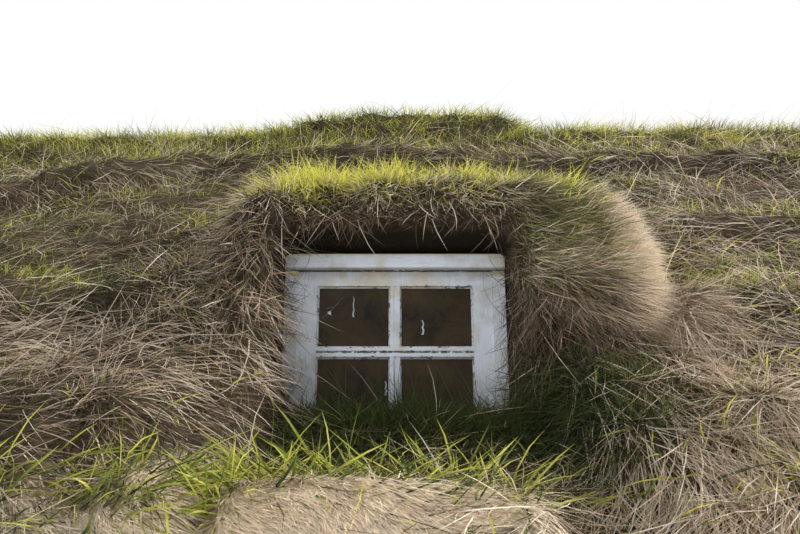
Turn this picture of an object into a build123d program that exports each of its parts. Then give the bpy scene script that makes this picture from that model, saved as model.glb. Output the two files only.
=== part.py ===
from build123d import *
import math
import os

# A turf house: turf walls and a turf roof over a timber-lined room, with a
# small window set in a hooded dormer of turf and a door in the east gable.
# Millimetres. +Z is up, the front looks to -Y, the ridge runs along X, and
# the origin is at ground level under the middle of the house.

os.makedirs("parts", exist_ok=True)

# Room
room_length = 5000.0
room_width = 3800.0

# Turf walls
long_wall_foot = 1600.0
gable_wall_foot = 1500.0
long_wall_batter = 302.0
gable_batter = 500.0
lip_sod = 120.0
lip_round = 95.0
lip_facets = 4

# Turf roof
roof_pitch = 41.0
apex_height = 4260.0
roof_turf_depth = 400.0

# Old sods have slipped into low ledges that run across the slopes. Every line gives
# its place along the house, as a share of the half length, its place up the slope,
# from 0 at the lip to 1 at the ridge sods, and its share of the full stand-out.
ledge_height = 105.0
ledge_foot = 85.0
ledge_crest = 80.0
ledge_back = 250.0
front_ledges = [
    [(-1.0, 0.07, 0.3), (-0.5, 0.08, 0.2), (-0.22, 0.10, 0.6), (0.28, 0.09, 0.5), (1.0, 0.07, 0.3)],
    [(-1.0, 0.30, 0.8), (-0.5, 0.31, 1.0), (-0.22, 0.28, 0.9), (0.28, 0.27, 0.8), (0.55, 0.29, 1.0),
     (1.0, 0.28, 0.7)],
    [(-1.0, 0.44, 0.0), (-0.22, 0.46, 0.3), (0.28, 0.50, 0.5), (0.55, 0.52, 0.7), (1.0, 0.50, 0.6)],
    [(-1.0, 0.58, 0.8), (-0.65, 0.60, 1.0), (-0.53, 0.65, 1.1), (-0.42, 0.72, 1.1), (-0.32, 0.78, 1.0),
     (-0.22, 0.80, 0.6), (0.0, 0.83, 0.7), (0.28, 0.80, 0.7), (0.55, 0.79, 0.9), (1.0, 0.77, 0.7)],
]
back_ledges = [
    [(-1.0, 0.14, 0.6), (-0.3, 0.11, 0.9), (0.35, 0.13, 0.6), (1.0, 0.10, 0.8)],
    [(-1.0, 0.38, 0.8), (-0.3, 0.42, 0.7), (0.35, 0.37, 1.0), (1.0, 0.42, 0.7)],
    [(-1.0, 0.70, 0.6), (-0.3, 0.66, 1.0), (0.35, 0.71, 0.7), (1.0, 0.67, 0.9)],
]

# Ridge sods: their rise over the edges of the slopes, and the crown over the window
ridge_half_width = 400.0
ridge_rise_west = 128.0
ridge_rise_east = 235.0
ridge_fullness = 1.6
ridge_facets = 8
crown_rise = 150.0
crown_west_foot = -1400.0
crown_west_top = -330.0
crown_east_top = 740.0
crown_east_foot = 960.0

# Window, in a plane near the outside of the wall head
window_width = 890.0
window_height = 790.0
sill_below_wall_head = 373.0
window_set_out = 250.0
frame_depth = 110.0
jamb_face = 57.0
head_face = 68.0
sill_face = 48.0
sash_depth = 45.0
sash_setback = 22.0
sash_lap = 8.0
stile_face = 73.0
top_rail = 51.0
bottom_rail = 80.0
glass_thickness = 4.0
casing_face = 57.0
casing_depth = 35.0
casing_end_radius = 8.0

# Hood, cheek and shoulder of turf round the window
hood_overhang = 140.0
hood_depth = 250.0
hood_back_reach = 180.0
hood_lip_round = 210.0
hood_lip_facets = 6
hood_soffit_rise = 60.0
hood_skirt = 240.0
hood_end_setback = 160.0
hood_end_run = 560.0
cheek_reach = 660.0
shoulder_reach = 1010.0
niche_floor_fall = 165.0
sill_turf_rise = 85.0
sill_turf_reach = 260.0
lip_mound_rise = 85.0
lip_mound_set_in = 75.0
lip_mound_width = 270.0
niche_flare_west = 10.0
niche_flare_east = 30.0

# Timber inside
board = 25.0
rafter_width = 100.0
rafter_depth = 120.0
frames_each_side = 3
frame_end_gap = 30.0
post_side = 120.0
plate_depth = 120.0
plate_seat = 32.0
collar_width = 60.0
collar_depth = 120.0
collar_share = 0.72
collar_lap = 35.0
ridge_board = 40.0
joist_width = 80.0
joist_depth = 100.0
floor_board = 30.0

# Door in the east gable
door_passage_width = 900.0
door_passage_height = 1910.0
door_set_in = 360.0
door_frame_depth = 100.0
door_jamb_face = 75.0
door_leaf_thickness = 40.0
door_lap = 10.0
door_gap = 2.0
threshold_height = 150.0
threshold_depth = 160.0

# Worked out from the sizes above
half_length = room_length / 2
half_width = room_width / 2
foot_y = half_width + long_wall_foot
foot_x = half_length + gable_wall_foot
slope = math.tan(math.radians(roof_pitch))
upright = 1 / math.cos(math.radians(roof_pitch))
sarking_apex = apex_height - roof_turf_depth * upright
rafter_apex = sarking_apex - board * upright
rafter_foot_apex = rafter_apex - rafter_depth * upright
lip_y = foot_y - long_wall_batter
lip_height = apex_height - slope * lip_y
face_slope = (foot_y - lip_y) / lip_height
wall_top_outer = lip_height - lip_sod
wall_top_inner = sarking_apex - slope * half_width
plate_top = rafter_foot_apex - slope * (half_width - board) + plate_seat
collar_meet = collar_share * half_width
collar_underside = rafter_foot_apex - slope * collar_meet
collar_half_span = collar_meet + collar_lap
window_sill = wall_top_inner - sill_below_wall_head
window_top = window_sill + window_height
window_back = -(half_width + window_set_out)
window_front = window_back - frame_depth
hood_front = window_front - hood_overhang
door_frame_back = foot_x - door_set_in
recess_back = (window_top - sarking_apex) / slope
hood_back = recess_back + hood_back_reach
hood_top = window_top + hood_depth
floor_top = joist_depth + floor_board
post_line = half_width - board - post_side
half_window = window_width / 2
half_passage = door_passage_width / 2
rafter_first = half_window + rafter_width / 2
rafter_last = half_length - board - frame_end_gap - rafter_width / 2
frame_spacing = (rafter_last - rafter_first) / (frames_each_side - 1)
frame_places = [
    side * (rafter_first + step * frame_spacing)
    for side in (-1, 1)
    for step in range(frames_each_side)
]


def turf_line(y):
    """Height of the outer roof slope."""
    return apex_height - slope * abs(y)


def sarking_line(y):
    """Height of the upper face of the sarking."""
    return sarking_apex - slope * abs(y)


def block(x0, x1, y0, y1, z0, z1):
    """A box given by its corners."""
    centre = ((x0 + x1) / 2, (y0 + y1) / 2, (z0 + z1) / 2)
    return Pos(*centre) * Box(abs(x1 - x0), abs(y1 - y0), abs(z1 - z0))


def prism(points, x0, x1):
    """A profile of (y, z) points carried along X."""
    face = make_face(Polyline(*points, close=True))
    return extrude(Plane.YZ.offset(x0) * face, x1 - x0)


def mirrored(shape):
    """The same piece on the back of the house."""
    return mirror(shape, Plane.XZ)


def gathered(shapes):
    """Like pieces that share a node."""
    return Compound(children=[s for shape in shapes for s in shape.solids()])


def gable_form():
    """The space between the two battered gable faces."""
    top = apex_height * 1.1
    lean = gable_batter / apex_height
    points = [
        (-foot_x, 0),
        (foot_x, 0),
        (foot_x - lean * top, top),
        (-foot_x + lean * top, top),
    ]
    face = make_face(Polyline(*points, close=True))
    return extrude(Plane.XZ * face, foot_y * 1.1, both=True)


gables = gable_form()


def long_wall(x0, x1):
    """Turf wall under the sloping wall head, battered outside."""
    outer_top = -(foot_y - face_slope * wall_top_outer)
    points = [
        (-foot_y, 0),
        (outer_top, wall_top_outer),
        (-half_width, wall_top_inner),
        (-half_width, 0),
    ]
    return prism(points, x0, x1) & gables


def wall_under_window():
    """Turf below the window, heaped against the sill and mounded along its outer lip."""
    floor_lip = window_sill - board - niche_floor_fall
    lip_out = -(foot_y - face_slope * floor_lip)
    crest = (lip_out + lip_mound_set_in, floor_lip + lip_mound_rise)
    points = [
        (-foot_y, 0),
        (lip_out, floor_lip),
        crest,
        (lip_out + lip_mound_width, floor_lip),
        (window_front - sill_turf_reach, window_sill + sill_turf_rise),
        (window_front, window_sill + sill_turf_rise),
        (window_front, window_sill - board),
        (-half_width, window_sill - board),
        (-half_width, 0),
    ]
    body = prism(points, -half_window, half_window)
    corners = [(lip_out, floor_lip), crest]
    lips = [
        e
        for e in body.edges().filter_by(Axis.X)
        if any(abs(e.center().Y - y) < 1 and abs(e.center().Z - z) < 1 for y, z in corners)
    ]
    return fillet(lips, lip_sod / 3)


def rounded_corner(before, corner, after, reach, facets):
    """Points of a curve that eases one corner of a section."""
    middle = Vector(*corner)
    start, end = (
        middle + (Vector(*other) - middle).normalized() * reach for other in (before, after)
    )
    points = []
    for i in range(facets + 1):
        t = i / facets
        point = start * (1 - t) ** 2 + middle * (2 * t * (1 - t)) + end * t**2
        points.append((point.X, point.Y))
    return points


def on_line(line, x):
    """Place up the slope and stand-out of a ledge at x."""
    share = x / foot_x
    for (x0, place0, out0), (x1, place1, out1) in zip(line, line[1:]):
        if share <= x1 + 1e-9:
            part = (share - x0) / (x1 - x0)
            return place0 + (place1 - place0) * part, out0 + (out1 - out0) * part
    return line[-1][1:]


def standing_out(y, out):
    """Point of a section that stands out from the front slope at y."""
    pitch = math.radians(roof_pitch)
    return (y - out * math.sin(pitch), turf_line(y) + out * math.cos(pitch))


def slope_section(x, ledges):
    """Roof turf of a slope at one place along the house, with its slipped ledges."""
    outer_top = (-(foot_y - face_slope * wall_top_outer), wall_top_outer)
    edge = (-ridge_half_width, turf_line(ridge_half_width))
    lip = rounded_corner(outer_top, (-lip_y, lip_height), edge, lip_round, lip_facets)
    points = [(-half_width, wall_top_inner), outer_top] + lip
    beside_hood = -1.001 * cheek_reach < x < 1.001 * shoulder_reach
    for line in ledges:
        place, share = on_line(line, x)
        y = -lip_y + (lip_y - ridge_half_width) * place
        under_hood = beside_hood and ledges is front_ledges and y < hood_back
        out = 0 if under_hood else ledge_height * share
        points += [
            standing_out(y - ledge_foot, 0),
            standing_out(y, 0.8 * out),
            standing_out(y + ledge_crest, out),
            standing_out(y + ledge_back, 0),
        ]
    points += [edge, (-ridge_half_width, sarking_line(ridge_half_width))]
    return Plane.YZ.offset(x) * make_face(Polyline(*points, close=True))


def roof_layer(x0, x1, ledges):
    """Roof turf of one slope between two places along the house."""
    marks = {share * foot_x for line in ledges for share, _, _ in line}
    if ledges is front_ledges:
        marks |= {-cheek_reach, shoulder_reach}
    places = sorted({x0, x1} | {x for x in marks if x0 < x < x1})
    return loft([slope_section(x, ledges) for x in places], ruled=True) & gables


def flare(side, angle):
    """Wedge cut away where the niche in front of the window widens."""
    reach = foot_y + hood_front
    spread = reach * math.tan(math.radians(angle))
    points = [
        (side * half_window, hood_front),
        (side * half_window, -foot_y - 1),
        (side * (half_window + spread), -foot_y - 1),
    ]
    face = make_face(Polyline(*points, close=True))
    return extrude(Plane.XY * face, apex_height)


def ridge_section(x, rise):
    """Ridge sods at one place along the house, rounded over the two slopes."""
    w = ridge_half_width
    edge = turf_line(w)
    steps = [2 * i / ridge_facets - 1 for i in range(ridge_facets + 1)]
    crown = [(w * s, edge + rise * (1 - abs(s) ** ridge_fullness)) for s in steps]
    under = [(w, sarking_line(w)), (0, sarking_apex), (-w, sarking_line(w))]
    return Plane.YZ.offset(x) * make_face(Polyline(*crown, *under, close=True))


def eased(value, low, high):
    """Runs smoothly from 0 at low to 1 at high."""
    share = min(max((value - low) / (high - low), 0), 1)
    return (1 - math.cos(math.pi * share)) / 2


def ridge_rise(x):
    """Old ridge: low in the west, a crown over the window, then a little higher."""
    past = eased(x, crown_west_foot, crown_east_top)
    even = ridge_rise_west + (ridge_rise_east - ridge_rise_west) * past
    up = eased(x, crown_west_foot, crown_west_top)
    down = eased(x, crown_east_top, crown_east_foot)
    return even + crown_rise * (up - down)


def ridge_turf():
    width = crown_west_top - crown_west_foot
    climb = [crown_west_foot + width * share for share in (0, 0.25, 0.5, 0.75, 1)]
    middle = [(crown_west_top + crown_east_top) / 2]
    places = [-foot_x] + climb + middle + [crown_east_top, crown_east_foot, foot_x]
    return loft([ridge_section(x, ridge_rise(x)) for x in places], ruled=True) & gables


def dormer_section(x, fullness):
    """Hood turf at one place along the house, hanging down to the slope in a skirt."""
    lack = 1 - fullness
    front = hood_front + lack * hood_end_setback
    back = hood_back - lack * hood_end_run
    foot = front - hood_skirt * fullness
    top = turf_line(front) + fullness * (hood_top - turf_line(hood_front))
    heel = (back, turf_line(back))
    toe = (foot, turf_line(foot))
    reach = hood_lip_round * (0.35 + 0.65 * fullness)
    lip = rounded_corner(heel, (front, top), toe, reach, hood_lip_facets)
    return Plane.YZ.offset(x) * make_face(Polyline(heel, *lip, toe, close=True))


def dormer_form():
    """The whole hood, lofted from its thin west cheek to its full shoulder."""
    swell = shoulder_reach - half_window
    places = [
        (-cheek_reach, 0.35),
        (-cheek_reach * 0.93, 0.72),
        (-cheek_reach * 0.84, 0.92),
        (-half_window, 1.0),
        (half_window, 1.0),
        (half_window + swell * 0.35, 0.98),
        (half_window + swell * 0.60, 0.92),
        (half_window + swell * 0.80, 0.80),
        (half_window + swell * 0.93, 0.62),
        (shoulder_reach, 0.35),
    ]
    return loft([dormer_section(x, f) for x, f in places], ruled=True)


def hood(form):
    """Turf over the window, down to its lining, the sarking and a soffit that tips up."""
    soffit_back = window_front - casing_depth
    soffit_front = hood_front - hood_skirt
    tip = hood_soffit_rise * (soffit_back - soffit_front) / (soffit_back - hood_front)
    above = [
        (soffit_back, window_top),
        (0, window_top),
        (0, apex_height),
        (soffit_front, apex_height),
        (soffit_front, window_top + tip),
    ]
    slope_at_top = (window_top - apex_height) / slope
    under = [
        (slope_at_top, window_top),
        (hood_back, turf_line(hood_back)),
        (hood_back, sarking_line(hood_back)),
        (recess_back, window_top),
    ]
    over = form & prism(above, -half_window, half_window)
    return over + prism(under, -half_window, half_window)


def sarking(x0, x1, lower):
    """Boarding under the turf, from the line lower to the ridge."""
    points = [
        (lower, sarking_line(lower)),
        (0, sarking_apex),
        (0, rafter_apex),
        (lower, sarking_line(lower) - board * upright),
    ]
    return prism(points, x0, x1)


def wall_plate(x0, x1):
    return block(x0, x1, -half_width + board, -post_line, plate_top - plate_depth, plate_top)


def rafter(x):
    """Rafter with a seat cut over the wall plate."""
    foot = -half_width + board
    top = -ridge_board / 2
    points = [
        (foot, rafter_apex + slope * foot),
        (top, rafter_apex + slope * top),
        (top, rafter_foot_apex + slope * top),
        (foot, rafter_foot_apex + slope * foot),
    ]
    timber = prism(points, x - rafter_width / 2, x + rafter_width / 2)
    return timber - wall_plate(-half_length, half_length)


def post(x):
    half = rafter_width / 2
    return block(
        x - half, x + half, -half_width + board, -post_line, floor_top, plate_top - plate_depth
    )


def collar(x):
    """Tie across a pair of rafters, nailed to their inner sides."""
    inner = x - math.copysign(rafter_width / 2, x)
    return block(
        inner,
        inner - math.copysign(collar_width, x),
        -collar_half_span,
        collar_half_span,
        collar_underside,
        collar_underside + collar_depth,
    )


def joists():
    rows = [
        block(x - joist_width / 2, x + joist_width / 2, -half_width, half_width, 0, joist_depth)
        for x in frame_places
    ]
    for x in (half_length + 2 * joist_width, door_frame_back - 2 * joist_width):
        rows.append(
            block(x - joist_width / 2, x + joist_width / 2, -half_passage, half_passage, 0, joist_depth)
        )
    return rows


def floor_boards():
    """Room floor with its tongue through the door passage."""
    room = block(-half_length, half_length, -half_width, half_width, joist_depth, floor_top)
    tongue = block(
        half_length, door_frame_back, -half_passage, half_passage, joist_depth, floor_top
    )
    return room + tongue


def gable_wall(y0, y1, foot):
    """Turf gable between the lines y0 and y1, up to the sarking."""
    middle = [0] if y0 < 0 < y1 else []
    top = [(y, sarking_line(y)) for y in [y1] + middle + [y0]]
    return prism([(y0, foot), (y1, foot)] + top, half_length, foot_x) & gables


def gable_panelling():
    """Boarding on a gable, up to the underside of the sarking."""
    low = sarking_line(half_width - board) - board * upright
    reach = half_width - board
    points = [(-reach, floor_top), (reach, floor_top), (reach, low), (0, rafter_apex), (-reach, low)]
    return prism(points, half_length - board, half_length)


def long_panelling():
    """Boarding on a long wall, up to the underside of the sarking."""
    top = rafter_apex - slope * half_width
    return block(-half_length, half_length, -half_width, -half_width + board, floor_top, top)


def window_frame():
    outer = block(
        -half_window, half_window, window_front, window_back, window_sill, window_top
    )
    clear = block(
        -half_window + jamb_face,
        half_window - jamb_face,
        window_front - 1,
        window_back + 1,
        window_sill + sill_face,
        window_top - head_face,
    )
    rebate = block(
        -half_window + jamb_face - sash_lap,
        half_window - jamb_face + sash_lap,
        window_front - 1,
        window_front + sash_setback + sash_depth,
        window_sill + sill_face - sash_lap,
        window_top - head_face + sash_lap,
    )
    return outer - clear - rebate


def window_sash():
    """Sash of four members round the glass, in the frame's rebate."""
    half = half_window - jamb_face + sash_lap - 0.3
    low = window_sill + sill_face - sash_lap + 0.3
    high = window_top - head_face + sash_lap - 0.3
    front = window_front + sash_setback
    outer = block(-half, half, front, front + sash_depth, low, high)
    hole = block(
        -half + stile_face + sash_lap,
        half - stile_face - sash_lap,
        front - 1,
        front + sash_depth + 1,
        low + bottom_rail + sash_lap,
        high - top_rail - sash_lap,
    )
    return outer - hole


def window_glass():
    """One sheet behind the bars."""
    half = half_window - jamb_face - stile_face - 0.3
    middle = window_front + sash_setback + sash_depth / 2
    return block(
        -half,
        half,
        middle - glass_thickness / 2,
        middle + glass_thickness / 2,
        window_sill + sill_face + bottom_rail + 0.3,
        window_top - head_face - top_rail - 0.3,
    )


def head_casing():
    """Weather board over the head of the window, its ends rounded."""
    casing = block(
        -half_window,
        half_window,
        window_front - casing_depth,
        window_front,
        window_top - casing_face,
        window_top,
    )
    ends = [e for e in casing.edges().filter_by(Axis.Z) if e.center().Y < window_front - 1]
    return fillet(ends, casing_end_radius)


def dormer_lining_side(side):
    """Boarding on one side of the window recess, back to the sarking."""
    points = [
        (window_back, window_sill),
        (window_back, window_top),
        (recess_back, window_top),
        (-half_width, sarking_line(half_width)),
        (-half_width, window_sill),
    ]
    return prism(points, side * half_window, side * (half_window - board))


def dormer_lining_top():
    inner = half_window - board
    return block(-inner, inner, window_back, recess_back, window_top - board, window_top)


def window_board():
    return block(
        -half_window, half_window, window_front, -half_width, window_sill - board, window_sill
    )


def door_frame():
    """Two jambs and a head, rebated for the leaf."""
    front = door_frame_back + door_frame_depth
    clear = half_passage - door_jamb_face
    top = door_passage_height
    outer = block(door_frame_back, front, -half_passage, half_passage, threshold_height, top)
    doorway = block(door_frame_back - 1, front + 1, -clear, clear, 0, top - door_jamb_face)
    return outer - doorway - door_rebate()


def door_rebate():
    half = half_passage - door_jamb_face + door_lap + door_gap
    return block(
        door_frame_back + door_frame_depth - door_leaf_thickness,
        door_frame_back + door_frame_depth + 1,
        -half,
        half,
        0,
        door_passage_height - door_jamb_face + door_lap + door_gap,
    )


def door_leaf():
    half = half_passage - door_jamb_face + door_lap
    return block(
        door_frame_back + door_frame_depth - door_leaf_thickness,
        door_frame_back + door_frame_depth,
        -half,
        half,
        threshold_height + door_gap,
        door_passage_height - door_jamb_face + door_lap,
    )


def threshold():
    front = door_frame_back + threshold_depth
    return block(door_frame_back, front, -half_passage, half_passage, 0, threshold_height)


def passage_side(side):
    return block(
        half_length - board,
        door_frame_back,
        side * half_passage,
        side * (half_passage - board),
        floor_top,
        door_passage_height - board,
    )


def passage_top():
    return block(
        half_length - board,
        door_frame_back,
        -half_passage,
        half_passage,
        door_passage_height - board,
        door_passage_height,
    )


def turf_parts():
    form = dormer_form()
    west_slope = roof_layer(-foot_x, -half_window, front_ledges) - flare(-1, niche_flare_west)
    east_slope = roof_layer(half_window, foot_x, front_ledges) - flare(1, niche_flare_east)
    over_hood = block(-half_window, half_window, hood_back, 0, 0, apex_height * 1.1)
    upper = roof_layer(-half_window, half_window, front_ledges) & over_hood
    back_slope = mirrored(roof_layer(-foot_x, foot_x, back_ledges))
    west_gable = mirror(gable_wall(-half_width, half_width, 0), Plane.YZ)
    far = foot_y + 1
    west_side = block(-far, -half_window, -far, 0, 0, apex_height)
    east_side = block(half_window, far, -far, 0, 0, apex_height)
    west_cheek = (form & west_side) - flare(-1, niche_flare_west)
    east_shoulder = (form & east_side) - flare(1, niche_flare_east)
    return {
        "front_wall_west": long_wall(-foot_x, -half_window),
        "front_wall_east": long_wall(half_window, foot_x),
        "front_wall_under_window": wall_under_window(),
        "back_wall": mirrored(long_wall(-foot_x, foot_x)),
        "west_gable_wall": west_gable,
        "east_gable_wall_front": gable_wall(-half_width, -half_passage, 0),
        "east_gable_wall_back": gable_wall(half_passage, half_width, 0),
        "east_gable_wall_over_door": gable_wall(-half_passage, half_passage, door_passage_height),
        "roof_turf_front_west": west_slope,
        "roof_turf_front_east": east_slope,
        "roof_turf_front_upper": upper,
        "roof_turf_back": back_slope,
        "ridge_turf": ridge_turf(),
        "dormer_turf_hood": hood(form),
        "dormer_turf_west_cheek": west_cheek,
        "dormer_turf_east_shoulder": east_shoulder,
    }


def timber_parts():
    front_rafters = [rafter(x) for x in frame_places]
    front_posts = [post(x) for x in frame_places]
    room_end = half_length - board
    front_plates = [wall_plate(-room_end, -half_window), wall_plate(half_window, room_end)]
    back_plate = mirrored(wall_plate(-room_end, room_end))
    window_hole = block(
        -half_window, half_window, -foot_y, 0, window_sill - board, apex_height
    )
    doorway = block(0, foot_x, -half_passage, half_passage, 0, door_passage_height)
    return {
        "sarking_front_west": sarking(-half_length, -half_window, -half_width),
        "sarking_front_east": sarking(half_window, half_length, -half_width),
        "sarking_front_upper": sarking(-half_window, half_window, recess_back),
        "sarking_back": mirrored(sarking(-half_length, half_length, -half_width)),
        "rafters_front": gathered(front_rafters),
        "rafters_back": gathered([mirrored(r) for r in front_rafters]),
        "collar_beams": gathered([collar(x) for x in frame_places]),
        "ridge_board": block(
            -room_end,
            room_end,
            -ridge_board / 2,
            ridge_board / 2,
            rafter_foot_apex - slope * ridge_board / 2,
            rafter_apex - slope * ridge_board / 2,
        ),
        "wall_plates": gathered(front_plates + [back_plate]),
        "posts_front": gathered(front_posts),
        "posts_back": gathered([mirrored(p) for p in front_posts]),
        "floor": floor_boards(),
        "floor_joists": gathered(joists()),
        "panelling_front": long_panelling() - window_hole,
        "panelling_back": mirrored(long_panelling()),
        "panelling_west": mirror(gable_panelling(), Plane.YZ),
        "panelling_east": gable_panelling() - doorway,
        "window_frame": window_frame(),
        "window_head_casing": head_casing(),
        "window_sash": window_sash(),
        "window_glass": window_glass(),
        "window_board": window_board(),
        "dormer_lining_sides": gathered([dormer_lining_side(-1), dormer_lining_side(1)]),
        "dormer_lining_top": dormer_lining_top(),
        "door_frame": door_frame(),
        "door_leaf": door_leaf(),
        "door_threshold": threshold(),
        "door_passage_sides": gathered([passage_side(-1), passage_side(1)]),
        "door_passage_top": passage_top(),
    }


for node, shape in {**turf_parts(), **timber_parts()}.items():
    export_step(shape, f"parts/{node}.step")
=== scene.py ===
"""Turf house with a hooded window: finishes, turf, grass, window, door and stage."""
import math
from types import SimpleNamespace

import bmesh
import bpy
import numpy as np
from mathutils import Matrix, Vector, noise


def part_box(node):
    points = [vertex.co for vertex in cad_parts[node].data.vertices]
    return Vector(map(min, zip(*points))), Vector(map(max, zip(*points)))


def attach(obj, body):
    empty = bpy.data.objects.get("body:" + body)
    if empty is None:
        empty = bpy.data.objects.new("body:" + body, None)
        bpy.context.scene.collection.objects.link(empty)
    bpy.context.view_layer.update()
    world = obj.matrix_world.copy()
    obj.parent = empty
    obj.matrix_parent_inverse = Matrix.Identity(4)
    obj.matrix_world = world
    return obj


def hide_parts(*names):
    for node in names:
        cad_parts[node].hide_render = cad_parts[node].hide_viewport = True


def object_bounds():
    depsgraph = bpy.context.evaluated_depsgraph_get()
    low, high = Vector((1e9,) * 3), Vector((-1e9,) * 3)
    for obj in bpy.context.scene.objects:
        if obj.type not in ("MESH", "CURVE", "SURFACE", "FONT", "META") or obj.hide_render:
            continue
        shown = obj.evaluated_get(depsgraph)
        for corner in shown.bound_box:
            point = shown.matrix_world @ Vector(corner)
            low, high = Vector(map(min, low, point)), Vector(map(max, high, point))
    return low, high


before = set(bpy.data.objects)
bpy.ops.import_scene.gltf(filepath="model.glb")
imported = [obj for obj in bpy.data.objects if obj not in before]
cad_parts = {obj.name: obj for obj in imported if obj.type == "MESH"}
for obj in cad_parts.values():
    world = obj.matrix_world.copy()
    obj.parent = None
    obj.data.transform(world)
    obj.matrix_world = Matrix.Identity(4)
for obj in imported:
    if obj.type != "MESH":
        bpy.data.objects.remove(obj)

bl_info = {
    "name": "Turf house",
    "version": (1, 0, 0),
    "blender": (4, 5, 0),
    "location": "3D View > Sidebar > Turf house",
    "description": "Builds the turf, grass, window, door and boards of a small turf house",
    "category": "Object",
}

BODY = "root"
CAD_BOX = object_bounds()

TURF_NODES = {
    "turf_front": (
        "front_wall_west",
        "front_wall_east",
        "front_wall_under_window",
        "roof_turf_front_west",
        "roof_turf_front_east",
        "roof_turf_front_upper",
        "ridge_turf",
        "dormer_turf_hood",
        "dormer_turf_west_cheek",
        "dormer_turf_east_shoulder",
    ),
    "turf_back": ("back_wall", "roof_turf_back"),
    "turf_gable_west": ("west_gable_wall",),
    "turf_gable_east": (
        "east_gable_wall_front",
        "east_gable_wall_back",
        "east_gable_wall_over_door",
    ),
}

ROOM_LOW, ROOM_HIGH = (
    Vector((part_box("panelling_west")[0].x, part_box("panelling_front")[0].y, 0.0)),
    Vector((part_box("panelling_east")[1].x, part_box("panelling_back")[1].y, 0.0)),
)
SARKING_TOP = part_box("sarking_back")[1]
ROOF_SLOPE = (SARKING_TOP.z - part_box("back_wall")[1].z) / ROOM_HIGH.y
BACK_LOW, BACK_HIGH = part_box("roof_turf_back")
TURF_APEX = BACK_HIGH.z + ROOF_SLOPE * BACK_LOW.y
FRAME_LOW, FRAME_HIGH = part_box("window_frame")
GLASS_LOW, GLASS_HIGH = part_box("window_glass")
SASH_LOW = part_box("window_sash")[0]
CASING_LOW, CASING_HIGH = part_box("window_head_casing")
DOOR_LOW, DOOR_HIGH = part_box("door_leaf")
DOOR_FRAME_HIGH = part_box("door_frame")[1]
HOOD_LOW, HOOD_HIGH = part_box("dormer_turf_hood")
HALF_WINDOW = FRAME_HIGH.x


# Sizes and colours that can be changed


class TurfSettings(bpy.types.PropertyGroup):
    front_grain: bpy.props.FloatProperty(
        name="Front grain", description="Mesh size of the front turf", default=0.042, unit="LENGTH"
    )
    rest_grain: bpy.props.FloatProperty(
        name="Rest grain", description="Mesh size of the other turf", default=0.075, unit="LENGTH"
    )
    kept: bpy.props.FloatProperty(
        name="Kept", description="Share of the faces kept in the seen turf",
        default=0.45, min=0.1, max=1.0
    )
    swell: bpy.props.FloatProperty(
        name="Swell", description="Height of the broad humps", default=0.042, unit="LENGTH"
    )
    tuft: bpy.props.FloatProperty(
        name="Tuft", description="Height of the small humps", default=0.034, unit="LENGTH"
    )
    soil: bpy.props.FloatVectorProperty(
        name="Soil", description="Dark soil", default=(0.030, 0.021, 0.013), subtype="COLOR"
    )
    # Dead matted grass, darkened as painted shade in the gaps between the blades
    thatch: bpy.props.FloatVectorProperty(
        name="Thatch", description="Dead matted grass",
        default=(0.13, 0.100, 0.066), subtype="COLOR"
    )


class GrassSettings(bpy.types.PropertyGroup):
    seed: bpy.props.IntProperty(name="Seed", description="Seed of the scatter", default=11)
    thickness: bpy.props.FloatProperty(
        name="Thickness", description="Share of the full number of blades", default=1.0, min=0.0
    )
    width: bpy.props.FloatProperty(
        name="Blade width", description="Width of a thin blade", default=0.0034, unit="LENGTH"
    )


class WindowSettings(bpy.types.PropertyGroup):
    bar: bpy.props.FloatProperty(
        name="Bar", description="Face width of the crossed bars", default=0.040, unit="LENGTH"
    )
    groove: bpy.props.FloatProperty(
        name="Groove", description="Width of the groove along a bar", default=0.010, unit="LENGTH"
    )
    putty: bpy.props.FloatProperty(
        name="Putty", description="Width of the putty round a pane", default=0.006, unit="LENGTH"
    )
    # Old white paint with a cool blue cast, which is painted skylight shade
    paint: bpy.props.FloatVectorProperty(
        name="Paint", description="Old white paint", default=(0.82, 0.87, 0.97), subtype="COLOR"
    )
    stain: bpy.props.FloatVectorProperty(
        name="Stain", description="Cream stain", default=(0.66, 0.56, 0.36), subtype="COLOR"
    )
    bare: bpy.props.FloatVectorProperty(
        name="Bare wood", description="Grey bare wood", default=(0.20, 0.17, 0.14), subtype="COLOR"
    )


class DoorSettings(bpy.types.PropertyGroup):
    planks: bpy.props.IntProperty(name="Planks", description="Planks of the leaf", default=5, min=1)
    gap: bpy.props.FloatProperty(
        name="Gap", description="Gap between planks", default=0.004, unit="LENGTH"
    )


class StageSettings(bpy.types.PropertyGroup):
    eye_distance: bpy.props.FloatProperty(
        name="Eye distance", description="Camera from the ridge line", default=5.3, unit="LENGTH"
    )
    eye_height: bpy.props.FloatProperty(
        name="Eye height", description="Camera above the ground", default=1.55, unit="LENGTH"
    )
    eye_side: bpy.props.FloatProperty(
        name="Eye side", description="Camera to the east", default=0.02, unit="LENGTH"
    )
    tilt: bpy.props.FloatProperty(
        name="Tilt", description="Camera tilt up", default=math.radians(16.5), subtype="ANGLE"
    )
    lens: bpy.props.FloatProperty(name="Lens", description="Focal length in mm", default=35.0)


class HouseSettings(bpy.types.PropertyGroup):
    turf: bpy.props.PointerProperty(type=TurfSettings)
    grass: bpy.props.PointerProperty(type=GrassSettings)
    window: bpy.props.PointerProperty(type=WindowSettings)
    door: bpy.props.PointerProperty(type=DoorSettings)
    stage: bpy.props.PointerProperty(type=StageSettings)


# Node helpers


def socket(sockets, name):
    """The socket in use with this name."""
    return next(s for s in sockets if s.enabled and s.name == name)


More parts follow.
